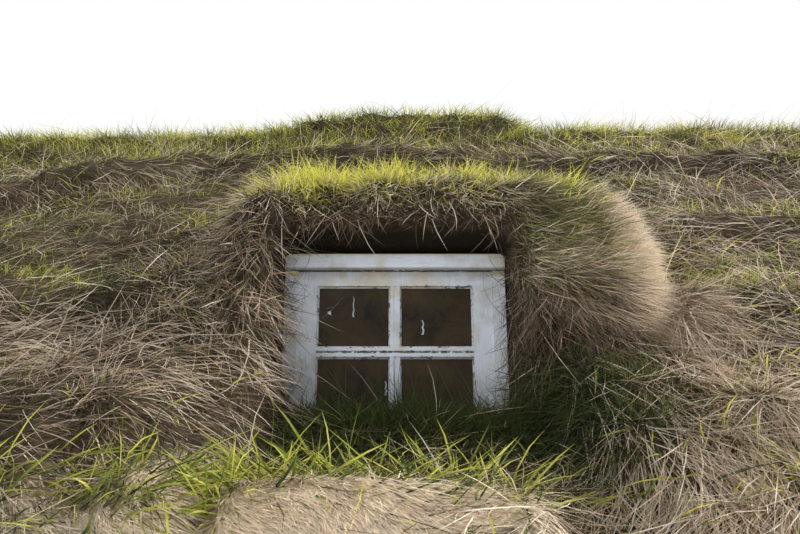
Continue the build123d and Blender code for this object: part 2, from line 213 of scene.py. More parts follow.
def node(tree, kind, values=(), **props):
    """A node with its properties, and inputs given by name or by place."""
    made = tree.nodes.new(kind)
    for key, value in props.items():
        setattr(made, key, value)
    for key, value in dict(values).items():
        target = made.inputs[key] if isinstance(key, int) else socket(made.inputs, key)
        if isinstance(value, bpy.types.NodeSocket):
            tree.links.new(value, target)
        else:
            target.default_value = value
    return made


def maths(tree, operation, *values):
    return node(tree, "ShaderNodeMath", enumerate(values), operation=operation).outputs[0]


def plus(tree, one, two, share):
    """The first value with a share of the second."""
    return maths(tree, "ADD", one, maths(tree, "MULTIPLY", two, share))


def split(tree, place):
    """The three parts of a place."""
    return node(tree, "ShaderNodeSeparateXYZ", {"Vector": place}).outputs


def ramp(tree, factor, stops):
    """A colour ramp with (place, colour) stops."""
    made = node(tree, "ShaderNodeValToRGB", {"Fac": factor})
    band = made.color_ramp
    while len(band.elements) < len(stops):
        band.elements.new(0.5)
    for element, (place, colour) in zip(band.elements, stops):
        element.position = place
        element.color = (*colour, 1.0)
    return made.outputs["Color"]


def span(tree, value, low, high, to_low=0.0, to_high=1.0):
    """Maps a value from one span to another, clamped."""
    values = {
        "Value": value, "From Min": low, "From Max": high, "To Min": to_low, "To Max": to_high
    }
    return node(tree, "ShaderNodeMapRange", values, interpolation_type="SMOOTHSTEP").outputs[0]


def mixed(tree, factor, one, two, blend_type="MIX"):
    made = node(tree, "ShaderNodeMix", data_type="RGBA", blend_type=blend_type)
    for name, value in (("Factor", factor), ("A", one), ("B", two)):
        target = socket(made.inputs, name)
        if isinstance(value, bpy.types.NodeSocket):
            tree.links.new(value, target)
        elif name == "Factor":
            target.default_value = value
        else:
            target.default_value = (*value, 1.0)
    return socket(made.outputs, "Result")


def blended(tree, share, one, two, out):
    """Mixes two shaders into the surface of an output."""
    joined = node(tree, "ShaderNodeMixShader", {0: share, 1: one, 2: two})
    tree.links.new(joined.outputs[0], out.inputs["Surface"])


def new_material(name):
    """A plain material, its tree and its shader."""
    material = bpy.data.materials.new(name)
    material.use_nodes = True
    tree = material.node_tree
    return material, tree, tree.nodes["Principled BSDF"]


def coated(tree, shader, colour, roughness, specular=0.5):
    """Gives the shader its colour, roughness and plain gloss."""
    tree.links.new(colour, shader.inputs["Base Color"])
    shader.inputs["Specular IOR Level"].default_value = specular
    if isinstance(roughness, bpy.types.NodeSocket):
        tree.links.new(roughness, shader.inputs["Roughness"])
    else:
        shader.inputs["Roughness"].default_value = roughness


def object_place(tree, scale=(1.0, 1.0, 1.0)):
    coords = node(tree, "ShaderNodeTexCoord").outputs["Object"]
    return node(tree, "ShaderNodeMapping", {"Vector": coords, "Scale": scale}).outputs[0]


def cloud(tree, place, scale, detail=4.0, roughness=0.6, distortion=0.0):
    """Noise from 0 to 1."""
    values = {
        "Vector": place, "Scale": scale, "Detail": detail,
        "Roughness": roughness, "Distortion": distortion,
    }
    return socket(node(tree, "ShaderNodeTexNoise", values).outputs, "Fac")


def bump(tree, height, strength, distance, shader):
    values = {"Height": height, "Strength": strength, "Distance": distance}
    made = node(tree, "ShaderNodeBump", values)
    tree.links.new(made.outputs[0], shader.inputs["Normal"])


def box_distance(tree, place, low, high):
    """How far outside an upright rectangle a point is, 0 inside it."""
    parts = split(tree, place)
    total = None
    for axis, a, b in (("X", low[0], high[0]), ("Z", low[1], high[1])):
        off = maths(tree, "SUBTRACT", parts[axis], (a + b) / 2)
        off = maths(tree, "SUBTRACT", maths(tree, "ABSOLUTE", off), abs(b - a) / 2)
        off = maths(tree, "POWER", maths(tree, "MAXIMUM", off, 0.0), 2.0)
        total = off if total is None else maths(tree, "ADD", total, off)
    return maths(tree, "SQRT", total)


# Materials

PALE_SUNLIT_THATCH = (0.90, 0.77, 0.56)
# Pale thatch with painted sunlight on the mound and the shoulder's rim: middle, reach
PALE_SUNLIT_PATCHES = (
    ((-0.27, -3.20, 1.53), (0.80, 0.28, 0.24)),
    ((0.98, -2.38, 2.36), (0.11, 0.45, 0.36)),
)
# Painted shade: near-black soil for the recess above the window, under the hood
RECESS_SHADE = (0.024, 0.018, 0.011)
SOIL_FLECKS = (0.18, 0.14, 0.09)


def turf_material(settings):
    """Soil and dead thatch under the blades, with painted shade and painted sunlight in spots."""
    material, tree, shader = new_material("turf_soil")
    place = object_place(tree)
    broad = cloud(tree, place, 3.0, 5.0)
    fibres = cloud(tree, object_place(tree, (1.0, 1.0, 3.2)), 26.0, 6.0, 0.7, 0.4)
    fine = cloud(tree, place, 90.0, 3.0)
    mat = span(tree, plus(tree, fibres, broad, 0.7), 0.62, 1.05)
    colour = mixed(tree, mat, tuple(settings.soil), tuple(settings.thatch))
    colour = mixed(tree, span(tree, fine, 0.55, 0.75, 0.0, 0.5), colour, SOIL_FLECKS)
    # Painted shade: the soil in the recess above the window, under the hood, is darkened to
    # near-black
    low, high = (-HALF_WINDOW, FRAME_HIGH.z), (HALF_WINDOW, HOOD_HIGH.z - 0.17)
    front = split(tree, place)["Y"]
    recess_shade = span(tree, box_distance(tree, place, low, high), 0.0, 0.03, 1.0, 0.0)
    for edge in ((HOOD_LOW.y + 0.01, HOOD_LOW.y + 0.06), (-1.7, -1.5, 1.0, 0.0)):
        recess_shade = maths(tree, "MULTIPLY", recess_shade, span(tree, front, *edge))
    colour = mixed(tree, recess_shade, colour, RECESS_SHADE)
    # Painted sunlight: pale thatch on the mound and the shoulder's rim
    for middle, reach in PALE_SUNLIT_PATCHES:
        values = {"Vector": place, "Location": middle, "Scale": reach}
        away = node(tree, "ShaderNodeMapping", values, vector_type="TEXTURE").outputs[0]
        away = node(tree, "ShaderNodeVectorMath", {0: away}, operation="LENGTH").outputs["Value"]
        colour = mixed(tree, span(tree, away, 0.6, 1.15, 0.95, 0.0), colour, PALE_SUNLIT_THATCH)
    coated(tree, shader, colour, 0.95, 0.15)
    bump(tree, plus(tree, fibres, fine, 0.4), 0.9, 0.02, shader)
    return material


# Colours on the blade map: place across, colour. Straw below GREEN_FROM, green above it
TINTS = (
    (0.00, (0.045, 0.034, 0.024)),
    (0.12, (0.150, 0.100, 0.062)),
    (0.20, (0.270, 0.172, 0.100)),
    (0.28, (0.330, 0.270, 0.232)),
    (0.36, (0.480, 0.375, 0.305)),
    (0.43, (0.590, 0.425, 0.285)),
    (0.50, (0.720, 0.610, 0.505)),
    (0.54, (0.850, 0.730, 0.580)),
    (0.575, (0.930, 0.830, 0.680)),
    (0.62, (0.330, 0.300, 0.120)),
    (0.70, (0.165, 0.180, 0.052)),
    (0.77, (0.050, 0.076, 0.026)),
    (0.87, (0.260, 0.325, 0.060)),
    (1.00, (0.740, 0.720, 0.140)),
)
GREEN_FROM = 0.60
PALEST_STRAW = GREEN_FROM - 0.03
OLIVE_TINT = 0.70
OLIVE_SPREAD = 0.16


def blade_material(name="grass_blades", glow=0.42, root=0.38):
    """Blades coloured by their own map, letting some light through, with painted shade at the root.
    """
    material, tree, shader = new_material(name)
    parts = split(tree, node(tree, "ShaderNodeUVMap", uv_map="OFBake").outputs["UV"])
    tint = ramp(tree, parts["X"], TINTS)
    # Painted shade: each blade darkens towards its root, where the blades round it would shade it
    shade = span(tree, parts["Y"], 0.0, 0.55, root, 1.0)
    grey = node(tree, "ShaderNodeCombineColor", {"Red": shade, "Green": shade, "Blue": shade})
    colour = mixed(tree, 1.0, tint, grey.outputs[0], "MULTIPLY")
    coated(tree, shader, colour, 0.62, 0.3)
    through = node(tree, "ShaderNodeBsdfTranslucent", {"Color": colour})
    out = tree.nodes["Material Output"]
    blended(tree, glow, shader.outputs[0], through.outputs[0], out)
    return material


GRIME = (0.47, 0.46, 0.43)
GREY_GRAIN = (0.40, 0.39, 0.38)
DARK_WOOD = (0.06, 0.05, 0.04)
GRAIN_ALONG = {"x": (1.2, 9.0, 14.0), "z": (14.0, 9.0, 1.2)}


def paint_material(settings, name, along, panes=(), cracks=(), cream_above=None):
    """Weathered white paint: grain along one axis, flaked to the wood round the panes."""
    material, tree, shader = new_material(name)
    place = object_place(tree)
    grain = cloud(tree, object_place(tree, GRAIN_ALONG[along]), 9.0, 6.0, 0.65, 0.3)
    dirt = cloud(tree, place, 6.0, 6.0, 0.7)
    chips = cloud(tree, place, 38.0, 6.0, 0.75, 0.8)
    height = split(tree, place)["Z"]
    foot = span(tree, height, FRAME_LOW.z + 0.05, FRAME_LOW.z + 0.45, 0.18, 0.0)
    grime = span(tree, maths(tree, "ADD", dirt, foot), 0.42, 0.78, 0.0, 0.8)
    colour = mixed(tree, grime, tuple(settings.paint), GRIME)
    colour = mixed(tree, span(tree, grain, 0.52, 0.75, 0.0, 0.45), colour, GREY_GRAIN)
    cream = span(tree, cloud(tree, place, 7.0, 4.0), 0.50, 0.66, 0.0, 0.55)
    if cream_above is not None:
        low = cream_above + 0.002
        edge = span(tree, plus(tree, height, dirt, 0.012), low, low + 0.010, 0.0, 0.85)
        cream = maths(tree, "MAXIMUM", cream, edge)
    colour = mixed(tree, cream, colour, tuple(settings.stain))
    worn = span(tree, plus(tree, chips, grain, 0.5), 0.99, 1.04)
    flaked = [(pane, 0.013, 0.19, (0.73, 0.78)) for pane in panes]
    flaked += [(crack, 0.008, 0.30, (0.70, 0.76)) for crack in cracks]
    for (low, high), reach, amount, edge in flaked:
        near = span(tree, box_distance(tree, place, low, high), 0.0, reach, amount, 0.0)
        near = span(tree, maths(tree, "ADD", chips, near), *edge)
        worn = maths(tree, "MAXIMUM", worn, near)
    bare = mixed(tree, grain, tuple(settings.bare), DARK_WOOD)
    coated(tree, shader, mixed(tree, worn, colour, bare), 0.65, 0.25)
    relief = maths(tree, "SUBTRACT", maths(tree, "MULTIPLY", grain, 0.5), worn)
    bump(tree, relief, 0.7, 0.0018, shader)
    return material


def glass_material():
    """Old panes, brown with dust, with the dark room behind as painted shade."""
    material, tree, shader = new_material("old_glass")
    place = object_place(tree)
    dust = cloud(tree, place, 5.0, 6.0, 0.7, 0.5)
    specks = span(tree, cloud(tree, place, 130.0, 2.0, 0.5), 0.72, 0.80, 0.0, 0.4)
    # Painted shade: the near-black end stands for the unlit room seen through the pane, the brown
    # end for dust
    colour = ramp(tree, dust, ((0.3, (0.010, 0.008, 0.006)), (0.70, (0.078, 0.053, 0.026))))
    colour = mixed(tree, specks, colour, (0.16, 0.13, 0.08))
    coated(tree, shader, colour, span(tree, dust, 0.3, 0.8, 0.25, 0.5), 0.10)
    return material


BOARD_GAP = (0.012, 0.010, 0.008)
BOARD_GRAIN = {"X": (22.0, 3.0, 1.6), "Y": (1.6, 22.0, 3.0), "Z": (1.6, 3.0, 22.0)}


def board_material(name, across, width, light, dark):
    """Rows of boards: across is the axis that counts them."""
    material, tree, shader = new_material(name)
    row = maths(tree, "DIVIDE", split(tree, object_place(tree))[across], width)
    number = maths(tree, "FLOOR", row)
    edge = maths(tree, "ABSOLUTE", maths(tree, "SUBTRACT", maths(tree, "FRACT", row), 0.5))
    gap = span(tree, edge, 0.47, 0.495)
    shift = node(tree, "ShaderNodeCombineXYZ", {0: number, 1: number, 2: number}).outputs[0]
    place = object_place(tree, BOARD_GRAIN[across])
    moved = node(tree, "ShaderNodeVectorMath", {0: place, 1: shift}).outputs[0]
    grain = cloud(tree, moved, 3.0, 6.0, 0.65, 0.5)
    plank = node(tree, "ShaderNodeTexWhiteNoise", {"W": number}, noise_dimensions="1D")
    tone = plus(tree, maths(tree, "MULTIPLY", grain, 0.75), plank.outputs["Value"], 0.35)
    colour = mixed(tree, span(tree, tone, 0.25, 0.85), dark, light)
    coated(tree, shader, mixed(tree, gap, colour, BOARD_GAP), 0.78)
    relief = maths(tree, "SUBTRACT", maths(tree, "MULTIPLY", grain, 0.2), gap)
    bump(tree, relief, 0.7, 0.004, shader)
    return material


def iron_material():
    material, tree, shader = new_material("forged_iron")
    rust = cloud(tree, object_place(tree), 30.0, 5.0, 0.7)
    colour = ramp(tree, rust, ((0.4, (0.030, 0.027, 0.025)), (0.7, (0.120, 0.060, 0.032))))
    coated(tree, shader, colour, 0.7)
    shader.inputs["Metallic"].default_value = 0.6
    bump(tree, rust, 0.4, 0.002, shader)
    return material


# Mesh helpers


def linked(name, data):
    """A new object in the scene."""
    made = bpy.data.objects.new(name, data)
    bpy.context.scene.collection.objects.link(made)
    return made


def finished(name, mesh, material):
    """A piece that rides on the house."""
    mesh.name = name
    mesh.materials.clear()
    mesh.materials.append(material)
    piece = linked(name, mesh)
    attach(piece, BODY)
    return piece


def built(name, bm, material):
    """A piece from a mesh under way."""
    return finished(name, mesh_from(bm, name), material)


def dressed(material, *nodes):
    """Gives CAD nodes their material."""
    for name in nodes:
        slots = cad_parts[name].data.materials
        slots.clear()
        slots.append(material)


def box_into(bm, low, high, bevel=0.0):
    """Adds a box with eased edges to a mesh under way."""
    made = bmesh.ops.create_cube(bm, size=1.0)["verts"]
    centre = [(a + b) / 2 for a, b in zip(low, high)]
    size = [b - a for a, b in zip(low, high)]
    for v in made:
        v.co = Vector([c + s * p for c, s, p in zip(centre, size, v.co)])
    if bevel:
        edges = list(dict.fromkeys(e for v in made for e in v.link_edges))
        bmesh.ops.bevel(bm, geom=edges, offset=bevel, segments=2, affect="EDGES", profile=0.7)


def mesh_from(bm, name):
    mesh = bpy.data.meshes.new(name)
    bm.to_mesh(mesh)
    bm.free()
    mesh.shade_flat()
    return mesh


def floats(items, what, width=1):
    values = np.empty(len(items) * width)
    items.foreach_get(what, values)
    return values


def whole(items, what):
    values = np.empty(len(items), dtype=np.int64)
    items.foreach_get(what, values)
    return values


def places(mesh):
    return floats(mesh.vertices, "co", 3).reshape(-1, 3)


def normals(mesh):
    return floats(mesh.vertex_normals, "vector", 3).reshape(-1, 3)


def moved_to(mesh, co):
    mesh.vertices.foreach_set("co", co.ravel())
    mesh.update()


def evaluated(source):
    """The mesh of an object as its modifiers leave it. The object goes."""
    graph = bpy.context.evaluated_depsgraph_get()
    made = bpy.data.meshes.new_from_object(source.evaluated_get(graph))
    bpy.data.objects.remove(source)
    return made


def modified(mesh, kind, **settings):
    """A new mesh: the given one with a modifier applied."""
    source = linked("source", mesh)
    change = source.modifiers.new("change", kind)
    for key, value in settings.items():
        setattr(change, key, value)
    return evaluated(source)


def noise_at(points, scale, octaves=3, offset=0.0):
    """Smooth noise, about -1 to 1, at every point."""
    shift = Vector((offset, offset * 0.7, -offset))
    return np.array(
        [noise.fractal(Vector(p) * scale + shift, 1.0, 2.0, octaves) for p in points]
    )


def smooth_step(value, low, high):
    t = np.clip((value - low) / (high - low), 0.0, 1.0)
    return t * t * (3.0 - 2.0 * t)


def hill(x, centre, reach):
    return np.exp(-(((x - centre) / reach) ** 2))


def heaped(x, z, spots, total=0.0):
    """Adds round hills: middle (x, z), reach (x, z) and height of each."""
    for x0, z0, reach_x, reach_z, height in spots:
        total = total + height * hill(x, x0, reach_x) * hill(z, z0, reach_z)
    return total


# Turf

# How far from timber and glass the turf lies still, how deep it lies there, and its rise elsewhere
HELD_BACK = 0.07
INNER_DEPTH, OUTER_RISE = -0.014, 0.01
# Share of the house's size that the grass may stand out, and its height over the ground
BOX_SHARE = 0.028
LOWEST_BLADE = 0.002
# Where the combing of the front turns from west to east, and where its wall ends
PARTING = 0.15
EAVES = 1.45


def remeshed(node_names, grain):
    """The CAD turf solids as one closed skin."""
    bm = bmesh.new()
    for name in node_names:
        bm.from_mesh(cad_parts[name].data)
    bmesh.ops.remove_doubles(bm, verts=bm.verts, dist=1e-4)
    solid = mesh_from(bm, "turf_source")
    skin = modified(solid, "REMESH", mode="VOXEL", voxel_size=grain, use_smooth_shade=True)
    return modified(skin, "SMOOTH", factor=0.5, iterations=4)


def room_side(co):
    """True where turf lies against the timber, the doorway or the window recess."""
    x, y, z = co.T
    reach = HELD_BACK
    under_roof = z < SARKING_TOP.z - ROOF_SLOPE * np.abs(y) + reach
    room = (x > ROOM_LOW.x - reach) & (x < ROOM_HIGH.x + reach) & under_roof
    room &= (y > ROOM_LOW.y - reach) & (y < ROOM_HIGH.y + reach)
    doorway = (x > ROOM_HIGH.x) & (np.abs(y) < DOOR_FRAME_HIGH.y + reach)
    doorway &= z < DOOR_FRAME_HIGH.z + reach
    recess = (np.abs(x) < HALF_WINDOW + reach) & (y > FRAME_LOW.y - 0.02) & (y < 0)
    recess &= (z > FRAME_LOW.z - 0.07) & (z < FRAME_HIGH.z + reach)
    return room | doorway | recess


# Humps: middle (x, z), reach (x, z), height
HUMPS = (
    (-1.55, 2.00, 0.80, 0.16, 0.055),
    (-0.95, 1.68, 0.35, 0.14, 0.035),
    (-1.90, 2.62, 0.50, 0.20, 0.03),
    (1.60, 1.98, 0.60, 0.14, 0.045),
    (1.00, 1.66, 0.30, 0.16, 0.035),
    (-0.45, 4.10, 0.35, 0.12, 0.03),
)
HUMPS_BY_WINDOW = (
    (1.08, 2.13, 0.13, 0.13, 0.05),
    (-0.80, 2.35, 0.15, 0.42, 0.06),
    (0.72, 2.25, 0.12, 0.10, 0.03),
)


def humps_on(x, z):
    """How far the front slope's humps stand out, in metres along the normal."""
    away = smooth_step(np.abs(x - PARTING), 0.85, 1.15)
    rise = heaped(x, z, HUMPS) * np.where((z > 1.55) & (z < 3.2), away, 1.0)
    return heaped(x, z, HUMPS_BY_WINDOW, rise)


def quiet_share(x, y, z):
    """How much of the relief is left beside the window and on the mound."""
    away = (
        smooth_step(np.abs(x), HALF_WINDOW + 0.02, HALF_WINDOW + 0.22)
        + smooth_step(z, FRAME_HIGH.z + 0.05, FRAME_HIGH.z + 0.25)
        + smooth_step(-z, -FRAME_LOW.z + 0.05, -FRAME_LOW.z + 0.15)
    )
    return np.clip(away, 0.25, 1.0) * (1.0 - 0.8 * hill(x, -0.1, 0.6) * hill(y, -3.2, 0.25))


def cleared_window(co):
    """Moves turf out of the rectangle of the window, to its nearest side."""
    x, y, z = co.T
    half, low, high = HALF_WINDOW + 0.010, FRAME_LOW.z - 0.03, FRAME_HIGH.z + 0.028
    inside = (np.abs(x) < half) & (z > low) & (z < high) & (y < -1.9)
    before = inside & (y > FRAME_LOW.y - 0.30)
    to_side, to_top = half - np.abs(x), high - z
    sideways = before & (to_side < to_top)
    co[sideways, 0] = np.sign(x[sideways]) * half
    upwards = before & ~sideways & (to_top < 0.12)
    co[upwards, 2] = high
    return co


def mounded(co):
    """Heaps the mound before the window and fills the west corner of its sill."""
    x, y, z = co.T
    side = hill(x, -0.12, np.where(x < -0.12, 0.75, 0.34))
    mound = 0.030 * side - 0.055 * (1 - side) * hill(x, 0.0, 1.1)
    mound = mound + 0.055 * hill(x, -0.66, 0.13) - 0.030 * hill(x, -0.40, 0.13)
    z += mound * hill(y, -3.20, 0.20) * smooth_step(z, 1.2, 1.45)
    corner = hill(y, -2.47, 0.12) * hill(z, 1.80, 0.14)
    x += 0.10 * corner * hill(x, -0.47, 0.08)
    y -= 0.06 * side * hill(z, 1.46, 0.08) * smooth_step(-y, 2.9, 3.05)
    return co


def shaped(mesh, settings, front):
    """Swells, tufts and sculpted sods, held back where timber or glass is near."""
    co = places(mesh)
    inner = room_side(co)
    out = settings.swell * noise_at(co, 2.3) + settings.tuft * noise_at(co, 8.0, 3, 5.0)
    quiet = 1.0
    if front:
        x, y, z = co.T
        out = out + humps_on(x, z)
        quiet = quiet_share(x, y, z)
    out = np.where(inner, INNER_DEPTH, out + OUTER_RISE) * np.where(inner, 1.0, quiet)
    co = co + normals(mesh) * out[:, None]
    if front:
        co = mounded(cleared_window(co))
    co[:, 2] = np.maximum(co[:, 2], 0.0)
    moved_to(mesh, co)
    return mesh


def kept_inside(mesh, lowest):
    """Nothing reaches below the ground or far out of the house's own box."""
    co = places(mesh)
    low, high = np.array(CAD_BOX[0]), np.array(CAD_BOX[1])
    room = (high - low) * BOX_SHARE
    co = np.clip(co, low - room, high + room)
    co[:, 2] = np.maximum(co[:, 2], lowest)
    moved_to(mesh, co)


class TURFHOUSE_OT_turf(bpy.types.Operator):
    """Make the turf walls and roof from the CAD solids"""

    bl_idname = "turf_house.turf"
    bl_label = "Turf"

    def execute(self, context):
        settings = context.scene.turf_house.turf
        material = turf_material(settings)
        for name, sources in TURF_NODES.items():
            front = name == "turf_front"
            grain = settings.front_grain if front else settings.rest_grain
            ground = shaped(remeshed(sources, grain), settings, front)
            ground.name = name + "_ground"
            mesh = modified(ground, "DECIMATE", ratio=settings.kept)
            kept_inside(mesh, 0.0)
            piece = finished(name, mesh, material)
            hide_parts(*sources)
        return {"FINISHED"}


# Grass


def unit(vectors):
    return vectors / np.maximum(np.linalg.norm(vectors, axis=1, keepdims=True), 1e-6)


def flow_on(normal, angle):
    """Direction along the surface: angle turns it from downhill to the east on the front."""
    down = np.array([0.0, 0.0, -1.0]) - normal * -normal[:, 2:3]
    length = np.linalg.norm(down, axis=1, keepdims=True)
    outward = normal * np.array([1.0, 1.0, 0.0])
    down = unit(np.where(length > 0.05, down, outward + np.array([0.0, -0.01, 0.0])))
    side = np.cross(normal, down)
    return unit(down * np.cos(angle)[:, None] + side * np.sin(angle)[:, None])


def field(x, z, base, regions):
    """A value over the front, drawn to each region's own value near its middle."""
    total, weight = base * 1.0, np.ones(len(x))
    for x0, z0, reach_x, reach_z, value, strength in regions:
        w = strength * hill(x, x0, reach_x) * hill(z, z0, reach_z)
        total = total + w * value
        weight = weight + w
    return total / weight


# Middle (x, z), reach (x, z), angle from downhill in degrees, strength
COMBING = (
    (-1.60, 2.00, 0.95, 0.24, 84.0, 12.0),
    (-0.66, 2.00, 0.16, 0.40, 30.0, 14.0),
    (-0.60, 1.68, 0.30, 0.14, 52.0, 12.0),
    (-0.66, 2.60, 0.12, 0.25, 8.0, 10.0),
    (0.00, 2.66, 0.55, 0.20, 0.0, 30.0),
    (0.75, 2.62, 0.34, 0.24, 94.0, 30.0),
    (0.58, 2.12, 0.14, 0.22, 22.0, 20.0),
    (0.78, 2.15, 0.16, 0.16, 48.0, 14.0),
    (0.98, 2.35, 0.14, 0.26, 66.0, 14.0),
    (1.06, 2.10, 0.16, 0.12, 58.0, 18.0),
    (1.70, 2.02, 0.70, 0.16, -84.0, 12.0),
    (1.30, 1.72, 0.55, 0.14, 40.0, 10.0),
    (0.75, 1.62, 0.22, 0.16, 12.0, 8.0),
)
# The same, with the share of green
GREENING = (
    (-2.10, 3.68, 0.90, 0.16, 0.95, 6.0),
    (-1.05, 3.66, 0.35, 0.12, 0.85, 4.0),
    (-2.30, 3.20, 0.80, 0.25, 0.60, 4.0),
    (-1.10, 3.30, 0.45, 0.20, 0.42, 3.0),
    (-1.70, 2.85, 0.60, 0.16, 0.35, 3.0),
    (-1.50, 2.38, 0.60, 0.12, 0.70, 4.0),
    (-0.93, 2.30, 0.27, 0.07, 0.90, 10.0),
    (-1.40, 3.57, 0.28, 0.05, 0.03, 14.0),
    (-1.60, 2.02, 0.90, 0.22, 0.04, 12.0),
    (-0.66, 2.10, 0.18, 0.40, 0.12, 8.0),
    (0.25, 3.10, 0.80, 0.20, 0.85, 5.0),
    (0.20, 3.60, 0.50, 0.10, 0.20, 3.0),
    (1.60, 2.40, 0.50, 0.16, 0.45, 3.0),
    (1.60, 3.10, 0.60, 0.20, 0.18, 3.0),
    (1.60, 1.98, 0.60, 0.14, 0.06, 6.0),
    (1.60, 1.70, 0.60, 0.12, 0.14, 4.0),
    (0.55, 1.75, 0.35, 0.16, 0.80, 6.0),
)
# Paler and darker spots: painted sunlight on the east bank, painted shade low on the west and
# painted sunlight on the edges of two ledges. Middle (x, z), reach (x, z), shift of the tint
TONE_SPOTS = (
    (1.05, 1.60, 0.55, 0.24, 0.24),
    (-1.00, 1.72, 0.70, 0.13, -0.20),
    (-1.40, 3.57, 0.28, 0.06, 0.28),
    (-1.30, 3.33, 0.25, 0.06, 0.22),
)
# Long pale blades with painted sunlight: middle (x, z), reach (x, z), thickness
PALE_SPOTS = (
    (1.05, 1.56, 0.50, 0.18, 2.8),
    (1.25, 1.86, 0.50, 0.14, 1.3),
    (1.50, 2.35, 0.70, 0.40, 0.3),
    (-1.40, 2.05, 0.90, 0.20, 0.6),
    (1.05, 2.15, 0.11, 0.13, 5.0),
)


class Ground:
    """What the grass grows on: its points, normals and the fields over them."""

    def __init__(self, name, seed):
        self.mesh = bpy.data.meshes[name + "_ground"]
        self.co, self.no = places(self.mesh), normals(self.mesh)
        self.x, self.y, self.z = self.co.T
        outside = ~room_side(self.co) & (self.z > 0.03)
        self.open = outside.astype(float) * smooth_step(self.no[:, 2], -0.75, -0.45)
        self.broad = noise_at(self.co, 1.1, 3, seed)
        self.patch = noise_at(self.co, 3.4, 3, seed + 9)
        self.fine = noise_at(self.co, 11.0, 2, seed + 21)
        self.area = np.zeros(len(self.co))
        sizes = whole(self.mesh.polygons, "loop_total")
        share = np.repeat(floats(self.mesh.polygons, "area") / sizes, sizes)
        np.add.at(self.area, whole(self.mesh.loops, "vertex_index"), share)


def blade_mesh(steps):
    """A flat tapering blade one unit long and one unit wide, standing along Z."""
    bm = bmesh.new()
    rows = []
    for i in range(steps):
        t = i / steps
        half = 0.5 * (1.0 - 0.45 * t)
        rows.append((bm.verts.new((-half, 0.0, t)), bm.verts.new((half, 0.0, t))))
    tip = bm.verts.new((0.0, 0.0, 1.0))
    for (a, b), (c, d) in zip(rows, rows[1:]):
        bm.faces.new((a, b, d, c))
    bm.faces.new((rows[-1][0], rows[-1][1], tip))
    mesh = mesh_from(bm, f"blade_{steps}")
    store(mesh, "along", "FLOAT", [v.co.z for v in mesh.vertices])
    return linked(f"blade_{steps}", mesh)


# Blades on the other sides of the house
REST_BLADES = {"grass_back": 16000, "grass_gable_west": 6500, "grass_gable_east": 6500}
KIND_COLUMNS = (
    "Blade", "Material", "count", "Seed", "Length", "Length spread", "Width",
    "Lift", "Tousle", "Droop", "Wave", "tone", "tone spread",
)
MAT = (0.165, 0.35, 1.0, 0.16, 0.46, 0.05, 0.5, 0.33, 0.34)
REST = (0.24, 0.35, 2.4, 0.18, 0.42, 0.12, 0.4, 0.36, 0.22)
REST_GREEN = (0.13, 0.35, 2.6, 0.6, 0.4, 0.15, 0.3, 0.85, 0.13)
# The kinds of grass, in the order of KIND_COLUMNS
KINDS = {
    "grass_mat_west": ("short", "blades", 40500, 1, *MAT),
    "grass_mat_east": ("short", "blades", 40500, 2, *MAT),
    "grass_hood": ("long", "blades", 6500, 3, 0.075, 0.35, 1.0, 0.24, 0.75, 0.3, 0.9, 0.36, 0.32),
    "grass_shoulder": (
        "short", "blades", 28500, 13, 0.115, 0.35, 0.8, 0.13, 0.48, 0.16, 0.6, 0.27, 0.25
    ),
    # Pale straw with painted sunlight along the shoulder's rim
    "grass_rim": (
        "short", "bleached", 11000, 15, 0.085, 0.35, 0.9, 0.34, 0.4, 0.1, 0.35, 0.54, 0.05
    ),
    "grass_cheek": ("long", "blades", 5500, 14, 0.14, 0.35, 1.0, 0.26, 0.7, 0.3, 0.6, 0.32, 0.3),
    "grass_fringe": ("long", "blades", 420, 4, 0.055, 0.7, 1.0, 0.25, 0.9, 0.4, 1.1, 0.16, 0.14),
    "grass_green": (
        "short", "blades", 34000, 5, 0.085, 0.35, 1.05, 0.6, 0.45, 0.15, 0.35, 0.84, 0.15
    ),
    # Below the panes: the grass's own green, darkened as painted shade
    "grass_under_window": (
        "long", "blades", 7500, 6, 0.15, 0.35, 1.1, 0.7, 0.5, 0.15, 0.4, 0.77, 0.016
    ),
    "grass_before_panes": (
        "long", "blades", 420, 16, 0.20, 0.5, 0.8, 0.95, 0.2, 0.05, 0.3, 0.765, 0.02
    ),
    "grass_stalks": ("long", "blades", 5600, 7, 0.36, 0.35, 0.95, 0.2, 0.4, 0.2, 0.25, 0.52, 0.09),
    # Pale straw with painted sunlight on the mound
    "grass_mound": (
        "short", "bleached", 12000, 17, 0.065, 0.35, 1.0, 0.08, 0.35, 0.05, 0.3, 0.550, 0.04
    ),
    "grass_pale": (
        "long", "bleached", 12000, 18, 0.24, 0.35, 0.95, 0.16, 0.42, 0.08, 0.3, 0.51, 0.10
    ),
    "grass_bright": ("long", "blades", 2600, 8, 0.15, 0.35, 1.9, 0.5, 0.6, 0.25, 0.35, 0.94, 0.08),
    "grass_foreground": (
        "long", "blades", 620, 19, 0.20, 0.5, 2.1, 0.42, 0.25, 0.15, 0.25, 0.90, 0.13
    ),
    "grass_front_wall": (
        "short", "blades", 12000, 9, 0.24, 0.35, 2.2, 0.2, 0.3, 0.22, 0.3, 0.34, 0.2
    ),
}
for name, count in REST_BLADES.items():
    KINDS[name] = ("short", "blades", count, 20, *REST)
    KINDS[name + "_green"] = ("short", "blades", count // 2, 21, *REST_GREEN)
# Fields over the ground, with the usual value of each
FIELDS = {"stretch": 1.0, "tone_shift": 0.0, "olive": 0.0, "ruffle": 1.0}
GRASS_INPUTS = {
    "Blade": "NodeSocketObject",
    "Blades per square metre": "NodeSocketFloat",
    **dict.fromkeys(KIND_COLUMNS[4:11], "NodeSocketFloat"),
    "Seed": "NodeSocketInt",
    "Material": "NodeSocketMaterial",
}
ATTRIBUTES = ("cover", "flow", *FIELDS, "reach", "sway", "chance", "along")


